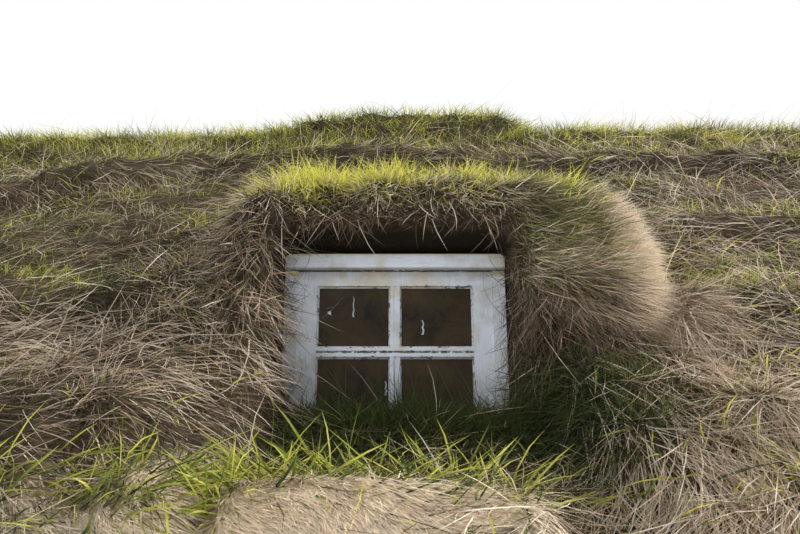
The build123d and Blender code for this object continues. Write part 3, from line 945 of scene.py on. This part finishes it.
def grass_tree():
    """Scatters blades over a surface, lays them along its flow and lets them droop."""
    tree = bpy.data.node_groups.new("grass_blades", "GeometryNodeTree")
    face = tree.interface
    face.new_socket(name="Surface", in_out="INPUT", socket_type="NodeSocketGeometry")
    for name, kind in GRASS_INPUTS.items():
        face.new_socket(name=name, in_out="INPUT", socket_type=kind)
    face.new_socket(name="Grass", in_out="OUTPUT", socket_type="NodeSocketGeometry")
    given = tree.nodes.new("NodeGroupInput").outputs

    def step(kind, values, **props):
        return node(tree, "GeometryNode" + kind, values, **props).outputs[0]

    def attribute(name, kind="FLOAT"):
        made = node(tree, "GeometryNodeInputNamedAttribute", {"Name": name}, data_type=kind)
        return made.outputs["Attribute"]

    def chance(low, high, extra):
        kind = "FLOAT_VECTOR" if isinstance(low, tuple) else "FLOAT"
        values = {"Min": low, "Max": high, "Seed": maths(tree, "ADD", given["Seed"], extra)}
        made = node(tree, "FunctionNodeRandomValue", values, data_type=kind)
        return socket(made.outputs, "Value")

    def vector(operation, *values):
        return node(tree, "ShaderNodeVectorMath", enumerate(values), operation=operation).outputs[0]

    def scaled(value, factor):
        values = {0: value, "Scale": factor}
        return node(tree, "ShaderNodeVectorMath", values, operation="SCALE").outputs[0]

    density = maths(tree, "MULTIPLY", attribute("cover"), given["Blades per square metre"])
    values = {"Mesh": given["Surface"], "Density": density, "Seed": given["Seed"]}
    spread = node(tree, "GeometryNodeDistributePointsOnFaces", values)
    normal = spread.outputs["Normal"]
    ruffle = maths(tree, "MULTIPLY", attribute("ruffle"), given["Tousle"])
    tousle = scaled(chance((-1, -1, -1), (1, 1, 1), 1), ruffle)
    laid = scaled(attribute("flow", "FLOAT_VECTOR"), maths(tree, "SUBTRACT", 1.0, given["Lift"]))
    aim = vector("ADD", scaled(normal, given["Lift"]), laid)
    aim = vector("NORMALIZE", vector("ADD", aim, tousle))
    facing = vector("ADD", normal, scaled(chance((-1, -1, -1), (1, 1, 1), 2), 0.6))
    axes = {"Primary Axis": aim, "Secondary Axis": facing}
    turn = node(tree, "FunctionNodeAxesToRotation", axes, primary_axis="Z", secondary_axis="Y")
    low = maths(tree, "SUBTRACT", 1.0, given["Length spread"])
    high = maths(tree, "ADD", 1.0, given["Length spread"])
    length = maths(tree, "MULTIPLY", chance(low, high, 3), given["Length"])
    length = maths(tree, "MULTIPLY", length, attribute("stretch"))
    width = maths(tree, "MULTIPLY", chance(0.7, 1.4, 4), given["Width"])
    size = node(tree, "ShaderNodeCombineXYZ", {"X": width, "Y": 1.0, "Z": length})
    blade = node(tree, "GeometryNodeObjectInfo", {"Object": given["Blade"]})
    values = {
        "Points": spread.outputs["Points"],
        "Instance": blade.outputs["Geometry"],
        "Rotation": turn.outputs[0],
        "Scale": size.outputs[0],
    }
    grass = step("InstanceOnPoints", values)
    for name, kind, value in (
        ("reach", "FLOAT", length),
        ("sway", "FLOAT_VECTOR", chance((-1, -1, -0.4), (1, 1, 0.4), 5)),
        ("chance", "FLOAT", chance(0.0, 1.0, 6)),
    ):
        values = {"Geometry": grass, "Name": name, "Value": value}
        grass = step("StoreNamedAttribute", values, data_type=kind, domain="INSTANCE")
    grass = step("RealizeInstances", {"Geometry": grass})
    along = attribute("along")
    bend = maths(tree, "MULTIPLY", maths(tree, "MULTIPLY", along, along), attribute("reach"))
    fall = node(tree, "ShaderNodeCombineXYZ", {"Z": maths(tree, "MULTIPLY", given["Droop"], -1.0)})
    sway = scaled(attribute("sway", "FLOAT_VECTOR"), given["Wave"])
    pull = scaled(vector("ADD", fall.outputs[0], sway), bend)
    grass = step("SetPosition", {"Geometry": grass, "Offset": pull})
    grass = step("SetMaterial", {"Geometry": grass, "Material": given["Material"]})
    tree.links.new(grass, tree.nodes.new("NodeGroupOutput").inputs[0])
    return tree


def store(mesh, name, kind, values):
    made = mesh.attributes.new(name, kind, "POINT")
    made.data.foreach_set("value" if kind == "FLOAT" else "vector", np.asarray(values).ravel())


def tint_map(mesh, tone, spread):
    """The blade map: tint across, place along the blade up."""
    chance, shift, olive, along = [
        floats(mesh.attributes[name].data, "value")
        for name in ("chance", "tone_shift", "olive", "along")
    ]
    across = tone + shift + (chance - 0.5) * 2 * spread
    if tone < GREEN_FROM:
        across = np.minimum(across, PALEST_STRAW)
    pick = (chance * 37.0) % 1.0
    within = pick / np.maximum(olive, 1e-6) - 0.5
    across = np.where(pick < olive, OLIVE_TINT + OLIVE_SPREAD * within, across)
    across = np.clip(across, 0.005, 0.995)
    corner = whole(mesh.loops, "vertex_index")
    for layer in list(mesh.uv_layers):
        mesh.uv_layers.remove(layer)
    layer = mesh.uv_layers.new(name="OFBake")
    layer.uv.foreach_set("vector", np.stack([across[corner], along[corner]], axis=1).ravel())
    for name in [a.name for a in mesh.attributes if a.name in ATTRIBUTES]:
        mesh.attributes.remove(mesh.attributes[name])


def planted(kit, name, ground, cover, angle, **fields):
    """One kind of grass on one ground."""
    look = dict(zip(KIND_COLUMNS, KINDS[name]))
    mesh, material = ground.mesh.copy(), getattr(kit, look["Material"])
    cover = np.clip(cover * ground.open, 0.0, None)
    expected = max(float((cover * ground.area).sum()), 1e-6)
    store(mesh, "cover", "FLOAT", cover)
    store(mesh, "flow", "FLOAT_VECTOR", flow_on(ground.no, angle))
    for key, usual in FIELDS.items():
        store(mesh, key, "FLOAT", np.broadcast_to(fields.get(key, usual), len(cover)))
    source = linked(name + "_source", mesh)
    scatter = source.modifiers.new("grass", "NODES")
    scatter.node_group = kit.tree
    values = look | {
        "Blade": getattr(kit, look["Blade"]),
        "Material": material,
        "Blades per square metre": look["count"] * kit.settings.thickness / expected,
        "Width": kit.settings.width * look["Width"],
        "Seed": kit.settings.seed + look["Seed"],
    }
    for item in kit.tree.interface.items_tree:
        if item.item_type == "SOCKET" and item.in_out == "INPUT" and item.name in values:
            scatter[item.identifier] = values[item.name]
    made = evaluated(source)
    tint_map(made, look["tone"], look["tone spread"])
    kept_inside(made, LOWEST_BLADE)
    return finished(name, made, material)


class TURFHOUSE_OT_grass(bpy.types.Operator):
    """Grow the matted, hanging and upright grass"""

    bl_idname = "turf_house.grass"
    bl_label = "Grass"

    def execute(self, context):
        kit = SimpleNamespace(
            settings=context.scene.turf_house.grass,
            tree=grass_tree(),
            short=blade_mesh(2),
            long=blade_mesh(3),
            blades=blade_material(),
            # Painted sunlight: the blade material again, barely darker at the root, for pale straw
            # in the sun
            bleached=blade_material("pale_sunlit_blades", 0.22, 0.95),
        )
        self.front_grass(Ground("turf_front", 1.0), kit)
        for index, name in enumerate(REST_BLADES):
            self.plain_grass(name, Ground(name.replace("grass", "turf"), 30.0 + index), kit)
        for blade in (kit.short, kit.long):
            bpy.data.objects.remove(blade)
        return {"FINISHED"}

    def front_grass(self, g, kit):
        x, y, z, up = g.x, g.y, g.z, g.no[:, 2]

        def grow(name, cover, angle, **fields):
            planted(kit, name, g, cover, angle, **fields)

        # Where things are: 1 on them, 0 away from them
        slope = smooth_step(up, 0.25, 0.5)
        wall = (1 - slope) * (z < EAVES) * (1 - 0.9 * hill(x, -0.27, 0.5) * (z > 1.30))
        bank = slope + 0.6 * (1 - slope) * (z >= EAVES)
        line = TURF_APEX - ROOF_SLOPE * np.abs(y)
        over = smooth_step(z - line, 0.06, 0.16) * (y < -1.25) * (np.abs(x - PARTING) < 1.1)
        middle = over * (np.abs(x) < HALF_WINDOW + 0.05)
        shoulder = over * smooth_step(x, HALF_WINDOW, HALF_WINDOW + 0.06)
        cheek = over * smooth_step(-x, HALF_WINDOW, HALF_WINDOW + 0.05)
        top = smooth_step(up, 0.35, 0.7) * smooth_step(z, 2.58, 2.7)
        niche = (np.abs(x - 0.12) < 0.66) & (y < -2.2) & (y > -2.85) & (z < 1.93)
        flank = smooth_step(np.abs(g.no[:, 0]), 0.45, 0.8)
        flank = flank * (np.abs(x - 0.1) < 0.75) * (z < 2.0)
        flat_sod = smooth_step(up, 0.80, 0.92)
        steep_sod = smooth_step(-up, -0.64, -0.45) * (z > 1.7) * (1 - over)
        steep_sod = steep_sod * smooth_step(g.broad + 0.6 * g.patch, -0.25, 0.35)
        flat = smooth_step(up, 0.5, 0.75)
        ridge = smooth_step(z, 3.60, 3.95)
        rim = smooth_step(x, 0.79, 0.92)
        crest = hill(x, -0.27, 0.50) * hill(z, 1.52, 0.12) * hill(y, -3.20, 0.22)
        mound = hill(x, -0.55, 0.80) * hill(z, 1.54, 0.07) * hill(y, -3.10, 0.16)
        combed = hill(x, -1.6, 0.9) * hill(z, 2.02, 0.18)

        # Angle, share of green and tint all over
        base = np.where(x < PARTING, 80.0, -78.0) * (1 - smooth_step(z, 3.5, 3.9))
        angle = field(x, z, base, COMBING) * (1 - 0.8 * flank) * (1 - 0.5 * steep_sod)
        angle = angle + (38.0 * g.patch + 24.0 * g.fine) * (1 - 0.45 * over)
        angle = np.radians(angle)
        green = field(x, z, 0.34 + 0.5 * g.broad, GREENING) + 0.45 * g.patch + 0.12 * g.fine
        green = np.clip(green + 0.25 * flat_sod - 0.45 * steep_sod, 0, 1)
        olive = np.clip(0.78 * green + 0.08, 0.0, 0.78)
        east = smooth_step(x, 0.9, 1.3)
        # Painted light in the tint: darker on steep sods (painted shade), paler high on the west
        # slope (painted sunlight), and the spots of TONE_SPOTS
        tone = 0.10 * g.broad + 0.20 * g.fine + 0.17 * g.patch - 0.06 * steep_sod
        tone = tone - 0.10 * ridge + 0.06 * east * (z > 2.75)
        tone = tone - 0.17 * east * hill(z, 2.35, 0.25)
        tone = tone + 0.11 * smooth_step(-x, 0.7, 1.2) * smooth_step(z, 2.7, 3.0)
        tone = heaped(x, z, TONE_SPOTS, tone)

        mat = bank * (1 - over) * (1 - 0.72 * ridge) * (1.1 - 0.45 * green)
        mat = mat * (1 - 0.3 * niche) * (1 - 0.9 * crest)
        shade = niche * smooth_step(y, -3.05, -2.85)
        for name, side in (("grass_mat_west", x < PARTING), ("grass_mat_east", x >= PARTING)):
            grow(
                name, mat * side, angle, olive=olive, ruffle=1.0 - 0.6 * combed,
                tone_shift=tone - 0.32 * shade,
                stretch=1.0 + 0.3 * combed + 0.3 * (x > 0.9) * (z < 2.3),
            )
        # Painted shade: the hood's blades darken towards its lower lip
        grow(
            "grass_hood", middle * (1 - 0.8 * top) * smooth_step(z, 2.59, 2.63), angle * 0.3,
            tone_shift=tone - 0.16 * (1 - smooth_step(z, 2.60, 2.68)),
            olive=0.15 + 0.3 * smooth_step(z, 2.6, 2.72) + 0.3 * smooth_step(-x, 0.15, 0.4),
            stretch=0.25 + 0.75 * smooth_step(z + 0.05 * g.patch, 2.62, 2.76),
        )
        # Painted shadow low on the shoulder (under) and painted sunlight along its rim (rim)
        under = (1 - smooth_step(z, 2.05, 2.35)) * (1 - smooth_step(x, 0.85, 1.0))
        grow(
            "grass_shoulder", shoulder * (1 - 0.5 * top), angle,
            tone_shift=tone + 0.03 + 0.30 * rim - 0.30 * under,
            olive=0.62 * smooth_step(z, 2.2, 2.6) * (1 - smooth_step(x, 0.72, 0.92)) + 0.06,
            stretch=1.0 - 0.40 * smooth_step(x, 0.74, 0.95) + 0.5 * (1 - smooth_step(z, 2.1, 2.4)),
        )
        grow("grass_rim", shoulder * hill(x, 0.945, 0.10) * smooth_step(z, 2.0, 2.2), angle)
        grow("grass_cheek", cheek, angle, tone_shift=tone, olive=0.15)
        lip = hill(y, -2.42, 0.08) * hill(z, 2.61, 0.04) * (np.abs(x) < HALF_WINDOW)
        grow("grass_fringe", lip * (0.06 + (g.patch + 0.5 * g.fine > 0.10)), angle * 0.0)
        strip = top * over * (1 - smooth_step(x, 0.60, 1.0))
        strip = np.clip(strip * (0.65 + 1.4 * g.patch + 0.8 * g.fine), 0.0, 1.2)
        upper = slope * (1.4 * green**1.5 + 1.5 * ridge) * (1 - niche) + 1.7 * strip
        # Painted sunlight: the green on the hood's top strip is paler and yellower
        grow(
            "grass_green", upper * smooth_step(z, 1.6, 2.4), angle * 0.5,
            stretch=1.0 + 0.25 * ridge + 0.8 * strip * np.clip(0.3 + g.patch, 0, 1),
            tone_shift=0.20 * g.patch + 0.15 * strip + 0.10 * g.fine + 0.05 * (z > 2.8),
        )
        beside = hill(x, 0.57, 0.19) * hill(z, 1.83, 0.13) * (y < -2.42) * bank
        # Painted shade: the grass below the panes is darkened further
        grow(
            "grass_under_window", niche * hill(y, -2.40, 0.20) * flat + beside, angle * 0.2,
            stretch=1.0 - 0.30 * niche, tone_shift=0.05 * np.clip(g.fine, -1, 0) - 0.02,
        )
        grow("grass_before_panes", niche * hill(y, -2.34, 0.07) * flat, angle * 0.0)
        stalks = bank * (0.35 + 1.3 * smooth_step(x, 0.9, 1.2)) * (1 - over) * (1 - niche)
        grow("grass_stalks", stalks * (z > 1.3), angle)
        grow("grass_mound", crest * (z > 1.3), 0.9 + 0.6 * g.patch, tone_shift=0.02 * g.fine)
        pale = heaped(x, z, PALE_SPOTS) + 2.5 * top * over
        grow(
            "grass_pale", pale * bank * (1 - 0.7 * over), angle,
            tone_shift=0.06 * g.fine, stretch=1.0 - 0.6 * top * over,
        )
        bright = 0.05 + 0.5 * east * (z < 2.7) + 0.5 * mound
        bright = bright + 0.8 * hill(x, 1.05, 0.40) * hill(z, 1.64, 0.14)
        grow("grass_bright", slope * bright * (1 - ridge) * (1 - over), angle * 0.3)
        behind = np.maximum(smooth_step(y, -3.20, -3.10), 0.8 * hill(x, -0.72, 0.22))
        leaning = np.radians(106.0) + 0.35 * g.patch
        grow("grass_foreground", bank * mound * behind, leaning)
        grow("grass_front_wall", wall, angle * 0.25, tone_shift=tone, olive=olive * 0.6)

    def plain_grass(self, name, g, kit):
        slope = smooth_step(g.no[:, 2], 0.25, 0.5)
        angle = np.radians(45.0 * g.patch + slope * 75.0 * np.sign(g.x + 0.8 * g.broad))
        green = np.clip(0.30 + 0.7 * g.broad + 0.6 * g.patch + 0.3 * slope, 0, 1)
        planted(
            kit, name, g, 0.8 + 0.2 * slope, angle,
            tone_shift=0.12 * g.fine + 0.14 * g.patch,
            olive=np.clip(0.95 * green * (0.30 + 0.70 * slope), 0.0, 0.8),
        )
        cover = green**1.5 * (0.25 + 0.75 * slope)
        planted(kit, name + "_green", g, cover, angle * 0.3, tone_shift=0.15 * g.patch)


# Window

THREAD_TINT, STALK_SHADE = 0.54, 0.8
# Dried drips and dirt on the panes: place across, from, to, width
PANE_MARKS = (
    (-0.169, 2.254, 2.336, 0.0055),
    (-0.264, 2.264, 2.273, 0.009),
    (-0.270, 2.267, 2.272, 0.007),
    (0.113, 2.182, 2.237, 0.009),
    (-0.036, 1.939, 1.990, 0.008),
)
# Dark stalks at each side, also standing in for grass shadows on the frame: side, count, least and
# greatest rise
SIDE_STALKS = ((-1, 64, -0.08, 0.20), (1, 58, -0.20, 0.10))
# A forked twig on a pane: both ends of its parts
TWIG = (
    ((0.0, 0.0), (0.055, 0.062)),
    ((0.0, 0.0), (-0.03, -0.028)),
    ((-0.012, 0.012), (0.014, 0.02)),
)


class TURFHOUSE_OT_window(bpy.types.Operator):
    """Paint the window, and add its crossed bars and putty"""

    bl_idname = "turf_house.window"
    bl_label = "Window"

    def execute(self, context):
        settings = context.scene.turf_house.window
        half_bar = settings.bar / 2
        mid_x = (GLASS_LOW.x + GLASS_HIGH.x) / 2
        mid_z = (GLASS_LOW.z + GLASS_HIGH.z) / 2
        panes = [
            ((x0, z0), (x1, z1))
            for x0, x1 in ((GLASS_LOW.x, mid_x - half_bar), (mid_x + half_bar, GLASS_HIGH.x))
            for z0, z1 in ((GLASS_LOW.z, mid_z - half_bar), (mid_z + half_bar, GLASS_HIGH.z))
        ]
        thin = 0.001
        level_crack = ((GLASS_LOW.x, mid_z - thin), (GLASS_HIGH.x, mid_z + thin))
        head_crack = ((FRAME_LOW.x, CASING_LOW.z - 0.002), (FRAME_HIGH.x, CASING_LOW.z))
        cream = CASING_HIGH.z - 0.008
        level = paint_material(settings, "white_paint_level", "x", panes, [level_crack])
        upright = paint_material(settings, "white_paint_upright", "z", panes)
        casing = paint_material(settings, "white_paint_casing", "x", cream_above=cream)
        cream = CASING_LOW.z - 0.030
        outer = paint_material(settings, "white_paint_frame", "z", (), [head_crack], cream)
        dressed(outer, "window_frame")
        dressed(casing, "window_head_casing")
        dressed(upright, "window_sash")
        dressed(glass_material(), "window_glass")
        front, back = SASH_LOW.y, GLASS_LOW.y
        ends_x, ends_z = (GLASS_LOW.x, GLASS_HIGH.x), (GLASS_LOW.z, GLASS_HIGH.z)
        self.bar("upright", mid_x, ends_z, front, back, upright, settings)
        self.bar("level", mid_z, ends_x, front - 0.001, back, level, settings)
        bm = bmesh.new()
        for low, high in panes:
            self.putty(bm, low, high, back, settings.putty)
        built("pane_putty", bm, level)
        bm = bmesh.new()
        layer = bm.loops.layers.uv.new("OFBake")
        for x, low, high, width in PANE_MARKS:
            sway, y = 0.35 * width, back - 0.35 * width
            points = [
                (x + sway * math.sin(2.2 * k + 40.0 * x), y, high - t * (high - low))
                for k, t in enumerate(np.linspace(0.0, 1.0, 7))
            ]
            self.stalk(bm, layer, points[::-1], width, THREAD_TINT)
        built("pane_marks", bm, casing)
        self.stalks(context.scene.turf_house.grass.seed)
        return {"FINISHED"}

    def stalks(self, seed):
        """Thin dry stalks arching over both sides of the frame, darkened as painted grass shadow,
        and a twig on a pane.
        """
        dice = np.random.default_rng(seed)
        bm = bmesh.new()
        layer = bm.loops.layers.uv.new("OFBake")
        front = CASING_LOW.y - 0.012
        for side, count, least, greatest in SIDE_STALKS:
            for _ in range(count):
                z = dice.uniform(FRAME_LOW.z - 0.02, FRAME_HIGH.z - 0.10)
                rise = dice.uniform(least, greatest)
                reach = dice.uniform(0.02, 0.12)
                turn = dice.uniform(-0.4, 1.3) * reach
                points = []
                for i in range(9):
                    t = i / 8
                    x = side * (HALF_WINDOW + 0.012 - reach * math.sin(t * 1.9) / 0.95)
                    y = front - 0.03 * math.sin(math.pi * t) - 0.004
                    points.append((x, y, z + rise * t + turn * t * t))
                # Near-black tints: the stalks also stand in for the shadows of grass on the frame
                # (painted shadow)
                width, tint = dice.uniform(0.0010, 0.0021), dice.uniform(0.0, 0.15)
                self.stalk(bm, layer, points, width, tint)
        x, z = PANE_MARKS[1][:2]
        y = GLASS_LOW.y - 0.004
        for start, end in TWIG:
            points = [
                (x + a, y, z + 0.01 + b + 0.004 * math.sin(3.0 * k))
                for k, (a, b) in enumerate(np.linspace(start, end, 5))
            ]
            self.stalk(bm, layer, points, 0.0018, 0.36)
        built("window_stalks", bm, bpy.data.materials["grass_blades"])

    def stalk(self, bm, layer, points, width, tint):
        """A three-sided thread along the points, thinner to its end."""
        rows = []
        for i, (x, y, z) in enumerate(points):
            half = 0.5 * width * (1.0 - 0.6 * i / (len(points) - 1))
            ring = ((-half, 0.0, -half), (half, 0.0, -half), (0.0, -half, half))
            rows.append([bm.verts.new((x + a, y + b, z + c)) for a, b, c in ring])
        faces = [bm.faces.new(rows[0]), bm.faces.new(list(reversed(rows[-1])))]
        for row, after in zip(rows, rows[1:]):
            for j in range(3):
                k = (j + 1) % 3
                faces.append(bm.faces.new((row[k], row[j], after[j], after[k])))
        for face in faces:
            for loop in face.loops:
                loop[layer].uv = (tint, STALK_SHADE)
        bmesh.ops.recalc_face_normals(bm, faces=faces)

    def bar(self, way, middle, ends, front, back, material, settings):
        """A glazing bar of two ridges with a groove between them."""
        half, groove = settings.bar / 2, settings.groove / 2
        upright = way == "upright"
        start, end = ends
        bm = bmesh.new()
        for low, high, face in (
            (-half, -groove, front),
            (-groove - 0.002, groove + 0.002, front + 0.006),
            (groove, half, front + 0.001),
        ):
            low, high = middle + low, middle + high
            if upright:
                box_into(bm, (low, face, start), (high, back, end), 0.002)
            else:
                box_into(bm, (start, face, low), (end, back, high), 0.002)
        if not upright:
            mid_x = (start + end) / 2
            low = (mid_x - half, front - 0.0005, middle - half)
            box_into(bm, low, (mid_x + half, back, middle + half), 0.002)
        built(f"glazing_bar_{way}", bm, material)

    def putty(self, bm, low, high, face, width):
        """A sloped bead of putty round one pane, from its edge to the glass."""

        def ring(y, inset):
            x0, z0, x1, z1 = low[0] + inset, low[1] + inset, high[0] - inset, high[1] - inset
            return [bm.verts.new((x, y, z)) for x, z in ((x0, z0), (x1, z0), (x1, z1), (x0, z1))]

        rings = [ring(face - width, 0.0), ring(face - 0.001, width), ring(face, 0.0)]
        for one, other in zip(rings, rings[1:] + rings[:1]):
            for i in range(4):
                j = (i + 1) % 4
                bm.faces.new((one[i], one[j], other[j], other[i]))
        bmesh.ops.recalc_face_normals(bm, faces=bm.faces)


# Door and boards

TARRED_LIGHT, TARRED_DARK = (0.150, 0.112, 0.078), (0.045, 0.034, 0.025)
# The latch's plate, two feet, pull and bar, round its middle: low, high, bevel
LATCH = (
    ((0.000, -0.021, -0.085), (0.004, 0.021, 0.085), 0.001),
    ((0.002, -0.006, -0.066), (0.030, 0.006, -0.054), 0.002),
    ((0.002, -0.006, 0.054), (0.030, 0.006, 0.066), 0.002),
    ((0.026, -0.007, -0.066), (0.037, 0.007, 0.066), 0.003),
    ((0.003, -0.012, 0.088), (0.012, 0.070, 0.106), 0.002),
)
BOARD_LIGHT, BOARD_DARK = (0.30, 0.215, 0.135), (0.120, 0.082, 0.052)
# Axis that counts the boards: width of one, CAD nodes
BOARDS = {
    "X": (0.14, (
        "panelling_front", "panelling_back", "rafters_front", "rafters_back",
        "posts_front", "posts_back", "dormer_lining_top",
    )),
    "Y": (0.14, (
        "panelling_west", "panelling_east", "floor", "floor_joists",
        "ridge_board", "wall_plates", "window_board", "dormer_lining_sides",
    )),
    "Z": (0.15, (
        "sarking_front_west", "sarking_front_east", "sarking_front_upper", "sarking_back",
        "collar_beams", "door_passage_sides", "door_passage_top",
    )),
}


class TURFHOUSE_OT_door(bpy.types.Operator):
    """Make the plank door with its straps and latch"""

    bl_idname = "turf_house.door"
    bl_label = "Door"

    def execute(self, context):
        settings = context.scene.turf_house.door
        timber = board_material("door_planks", "Y", 0.154, TARRED_LIGHT, TARRED_DARK)
        iron = iron_material()
        face, hinge_side, catch_side = DOOR_HIGH.x, DOOR_LOW.y, DOOR_HIGH.y
        bm = bmesh.new()
        width = (catch_side - hinge_side + settings.gap) / settings.planks
        for i in range(settings.planks):
            y = hinge_side + i * width
            high = (face - 0.002 * (i % 2), y + width - settings.gap, DOOR_HIGH.z)
            box_into(bm, (DOOR_LOW.x, y, DOOR_LOW.z), high, 0.004)
        low = (DOOR_LOW.x + 0.004, hinge_side + 0.004, DOOR_LOW.z + 0.004)
        box_into(bm, low, (DOOR_LOW.x + 0.014, catch_side - 0.004, DOOR_HIGH.z - 0.004))
        leaf = built("door_planks", bm, timber)
        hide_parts("door_leaf")
        bm = bmesh.new()
        for share in (0.18, 0.80):
            z = DOOR_LOW.z + share * (DOOR_HIGH.z - DOOR_LOW.z)
            high = (face + 0.006, catch_side - 0.16, z + 0.045)
            box_into(bm, (face, hinge_side + 0.01, z), high, 0.002)
            for k in range(5):
                y = hinge_side + 0.06 + k * 0.13
                high = (face + 0.011, y + 0.016, z + 0.030)
                box_into(bm, (face + 0.004, y, z + 0.014), high, 0.003)
        built("door_straps", bm, iron)
        bm = bmesh.new()
        middle = (face, catch_side - 0.075, DOOR_LOW.z + 0.95)
        for low, high, bevel in LATCH:
            ends = [[m + part for m, part in zip(middle, end)] for end in (low, high)]
            box_into(bm, *ends, bevel)
        built("door_latch", bm, iron)
        dressed(timber, "door_frame", "door_threshold")
        return {"FINISHED"}


class TURFHOUSE_OT_boards(bpy.types.Operator):
    """Finish the timber inside the house"""

    bl_idname = "turf_house.boards"
    bl_label = "Boards"

    def execute(self, context):
        for axis, (width, nodes) in BOARDS.items():
            name = "boards_in_" + axis.lower()
            dressed(board_material(name, axis, width, BOARD_LIGHT, BOARD_DARK), *nodes)
        return {"FINISHED"}


# Stage

WHITE = (1.0, 1.0, 1.0, 1.0)
PALE_FLOOR, SKY = (0.70, 0.70, 0.69, 1.0), (0.82, 0.91, 1.0, 1.0)
FLOOR_SIZE, FADE_FROM, FADE_TO = 60.0, 9.0, 24.0
CLIP_END = 200.0
# Distant lamps: name, direction of the light's source, strength, softness in degrees, colour
SUNS = (
    ("key", (0.83, 0.06, 0.555), 5.1, 5.0, (1.0, 0.95, 0.86)),
    ("behind", (-0.62, 0.77, 0.14), 1.4, 25.0, (1.0, 0.98, 0.95)),
)
# Broad lamps: name, place, target, power, colour
PANELS = (
    ("fill", (-3.0, -9.0, 6.5), (0.0, -1.5, 2.4), 190.0, (1.0, 0.98, 0.95)),
    ("back", (3.0, 9.0, 7.5), (0.0, 0.5, 2.6), 300.0, (1.0, 0.97, 0.92)),
)
PANEL_SIZE = (6.0, 4.0)


def lamp(name, kind, aim, strength, colour):
    """A lamp that shines along aim, and the object that holds it."""
    light = bpy.data.lights.new(name, kind)
    light.energy, light.color = strength, colour
    holder = linked(name, light)
    holder.rotation_euler = aim.to_track_quat("-Z", "Y").to_euler()
    return light, holder


def seen_share(tree):
    """1 where the camera, a reflection or a pane looks, 0 for light on the object."""
    path = tree.nodes.new("ShaderNodeLightPath")
    share = maths(tree, "MAXIMUM", path.outputs["Is Camera Ray"], path.outputs["Is Glossy Ray"])
    return maths(tree, "MAXIMUM", share, path.outputs["Is Transmission Ray"])


class TURFHOUSE_OT_stage(bpy.types.Operator):
    """Set the camera, the soft light and the pale floor"""

    bl_idname = "turf_house.stage"
    bl_label = "Stage"

    def execute(self, context):
        settings = context.scene.turf_house.stage
        scene = context.scene
        scene.view_settings.view_transform = "Standard"
        camera = bpy.data.cameras.new("camera")
        camera.lens, camera.clip_end = settings.lens, CLIP_END
        scene.camera = linked("camera", camera)
        place = (settings.eye_side, -settings.eye_distance, settings.eye_height)
        scene.camera.location = place
        scene.camera.rotation_euler = (math.pi / 2 + settings.tilt, 0.0, 0.0)
        self.floor()
        self.world(scene)
        for name, towards, strength, softness, colour in SUNS:
            light, _ = lamp(name, "SUN", -Vector(towards), strength, colour)
            light.angle = math.radians(softness)
        for name, place, target, power, colour in PANELS:
            light, holder = lamp(name, "AREA", Vector(target) - Vector(place), power, colour)
            light.shape = "RECTANGLE"
            light.size, light.size_y = PANEL_SIZE
            holder.location = place
        return {"FINISHED"}

    def floor(self):
        bm = bmesh.new()
        bmesh.ops.create_grid(bm, x_segments=1, y_segments=1, size=FLOOR_SIZE)
        mesh = mesh_from(bm, "stage_floor")
        material, tree, shader = new_material("stage_floor")
        shader.inputs["Base Color"].default_value = PALE_FLOOR
        shader.inputs["Roughness"].default_value = 0.9
        reach = node(tree, "ShaderNodeVectorMath", {0: object_place(tree)}, operation="LENGTH")
        far = span(tree, reach.outputs["Value"], FADE_FROM, FADE_TO)
        share = maths(tree, "MULTIPLY", far, seen_share(tree))
        white = node(tree, "ShaderNodeEmission", {"Color": WHITE, "Strength": 1.0})
        out = tree.nodes["Material Output"]
        blended(tree, share, shader.outputs[0], white.outputs[0], out)
        mesh.materials.append(material)
        floor = linked("stage_floor", mesh)

    def world(self, scene):
        """Soft pale sky, plain white where it is seen."""
        scene.world = bpy.data.worlds.new("soft_sky")
        scene.world.use_nodes = True
        tree = scene.world.node_tree
        tree.nodes.clear()
        soft, seen = [
            node(tree, "ShaderNodeBackground", {"Color": colour, "Strength": strength}).outputs[0]
            for colour, strength in ((SKY, 0.42), (WHITE, 1.0))
        ]
        blended(tree, seen_share(tree), soft, seen, tree.nodes.new("ShaderNodeOutputWorld"))


class TURFHOUSE_PT_panel(bpy.types.Panel):
    """Lists the steps that build the house"""

    bl_idname = "TURFHOUSE_PT_panel"
    bl_label = "Turf house"
    bl_space_type = "VIEW_3D"
    bl_region_type = "UI"
    bl_category = "Turf house"

    def draw(self, context):
        house = context.scene.turf_house
        for group in (house.turf, house.grass, house.window, house.door, house.stage):
            column = self.layout.column(align=True)
            for key in group.__annotations__:
                column.prop(group, key)
        for step in STEPS:
            self.layout.operator(step.bl_idname)


STEPS = (
    TURFHOUSE_OT_turf,
    TURFHOUSE_OT_grass,
    TURFHOUSE_OT_window,
    TURFHOUSE_OT_door,
    TURFHOUSE_OT_boards,
    TURFHOUSE_OT_stage,
)
GROUPS = (
    TurfSettings,
    GrassSettings,
    WindowSettings,
    DoorSettings,
    StageSettings,
    HouseSettings,
)


def register():
    for each in GROUPS + STEPS + (TURFHOUSE_PT_panel,):
        bpy.utils.register_class(each)
    bpy.types.Scene.turf_house = bpy.props.PointerProperty(type=HouseSettings)


def unregister():
    del bpy.types.Scene.turf_house
    for each in reversed(GROUPS + STEPS + (TURFHOUSE_PT_panel,)):
        bpy.utils.unregister_class(each)


def main():
    register()
    bpy.ops.turf_house.turf()
    bpy.ops.turf_house.grass()
    bpy.ops.turf_house.window()
    bpy.ops.turf_house.door()
    bpy.ops.turf_house.boards()
    bpy.ops.turf_house.stage()


if __name__ == "__main__":
    main()
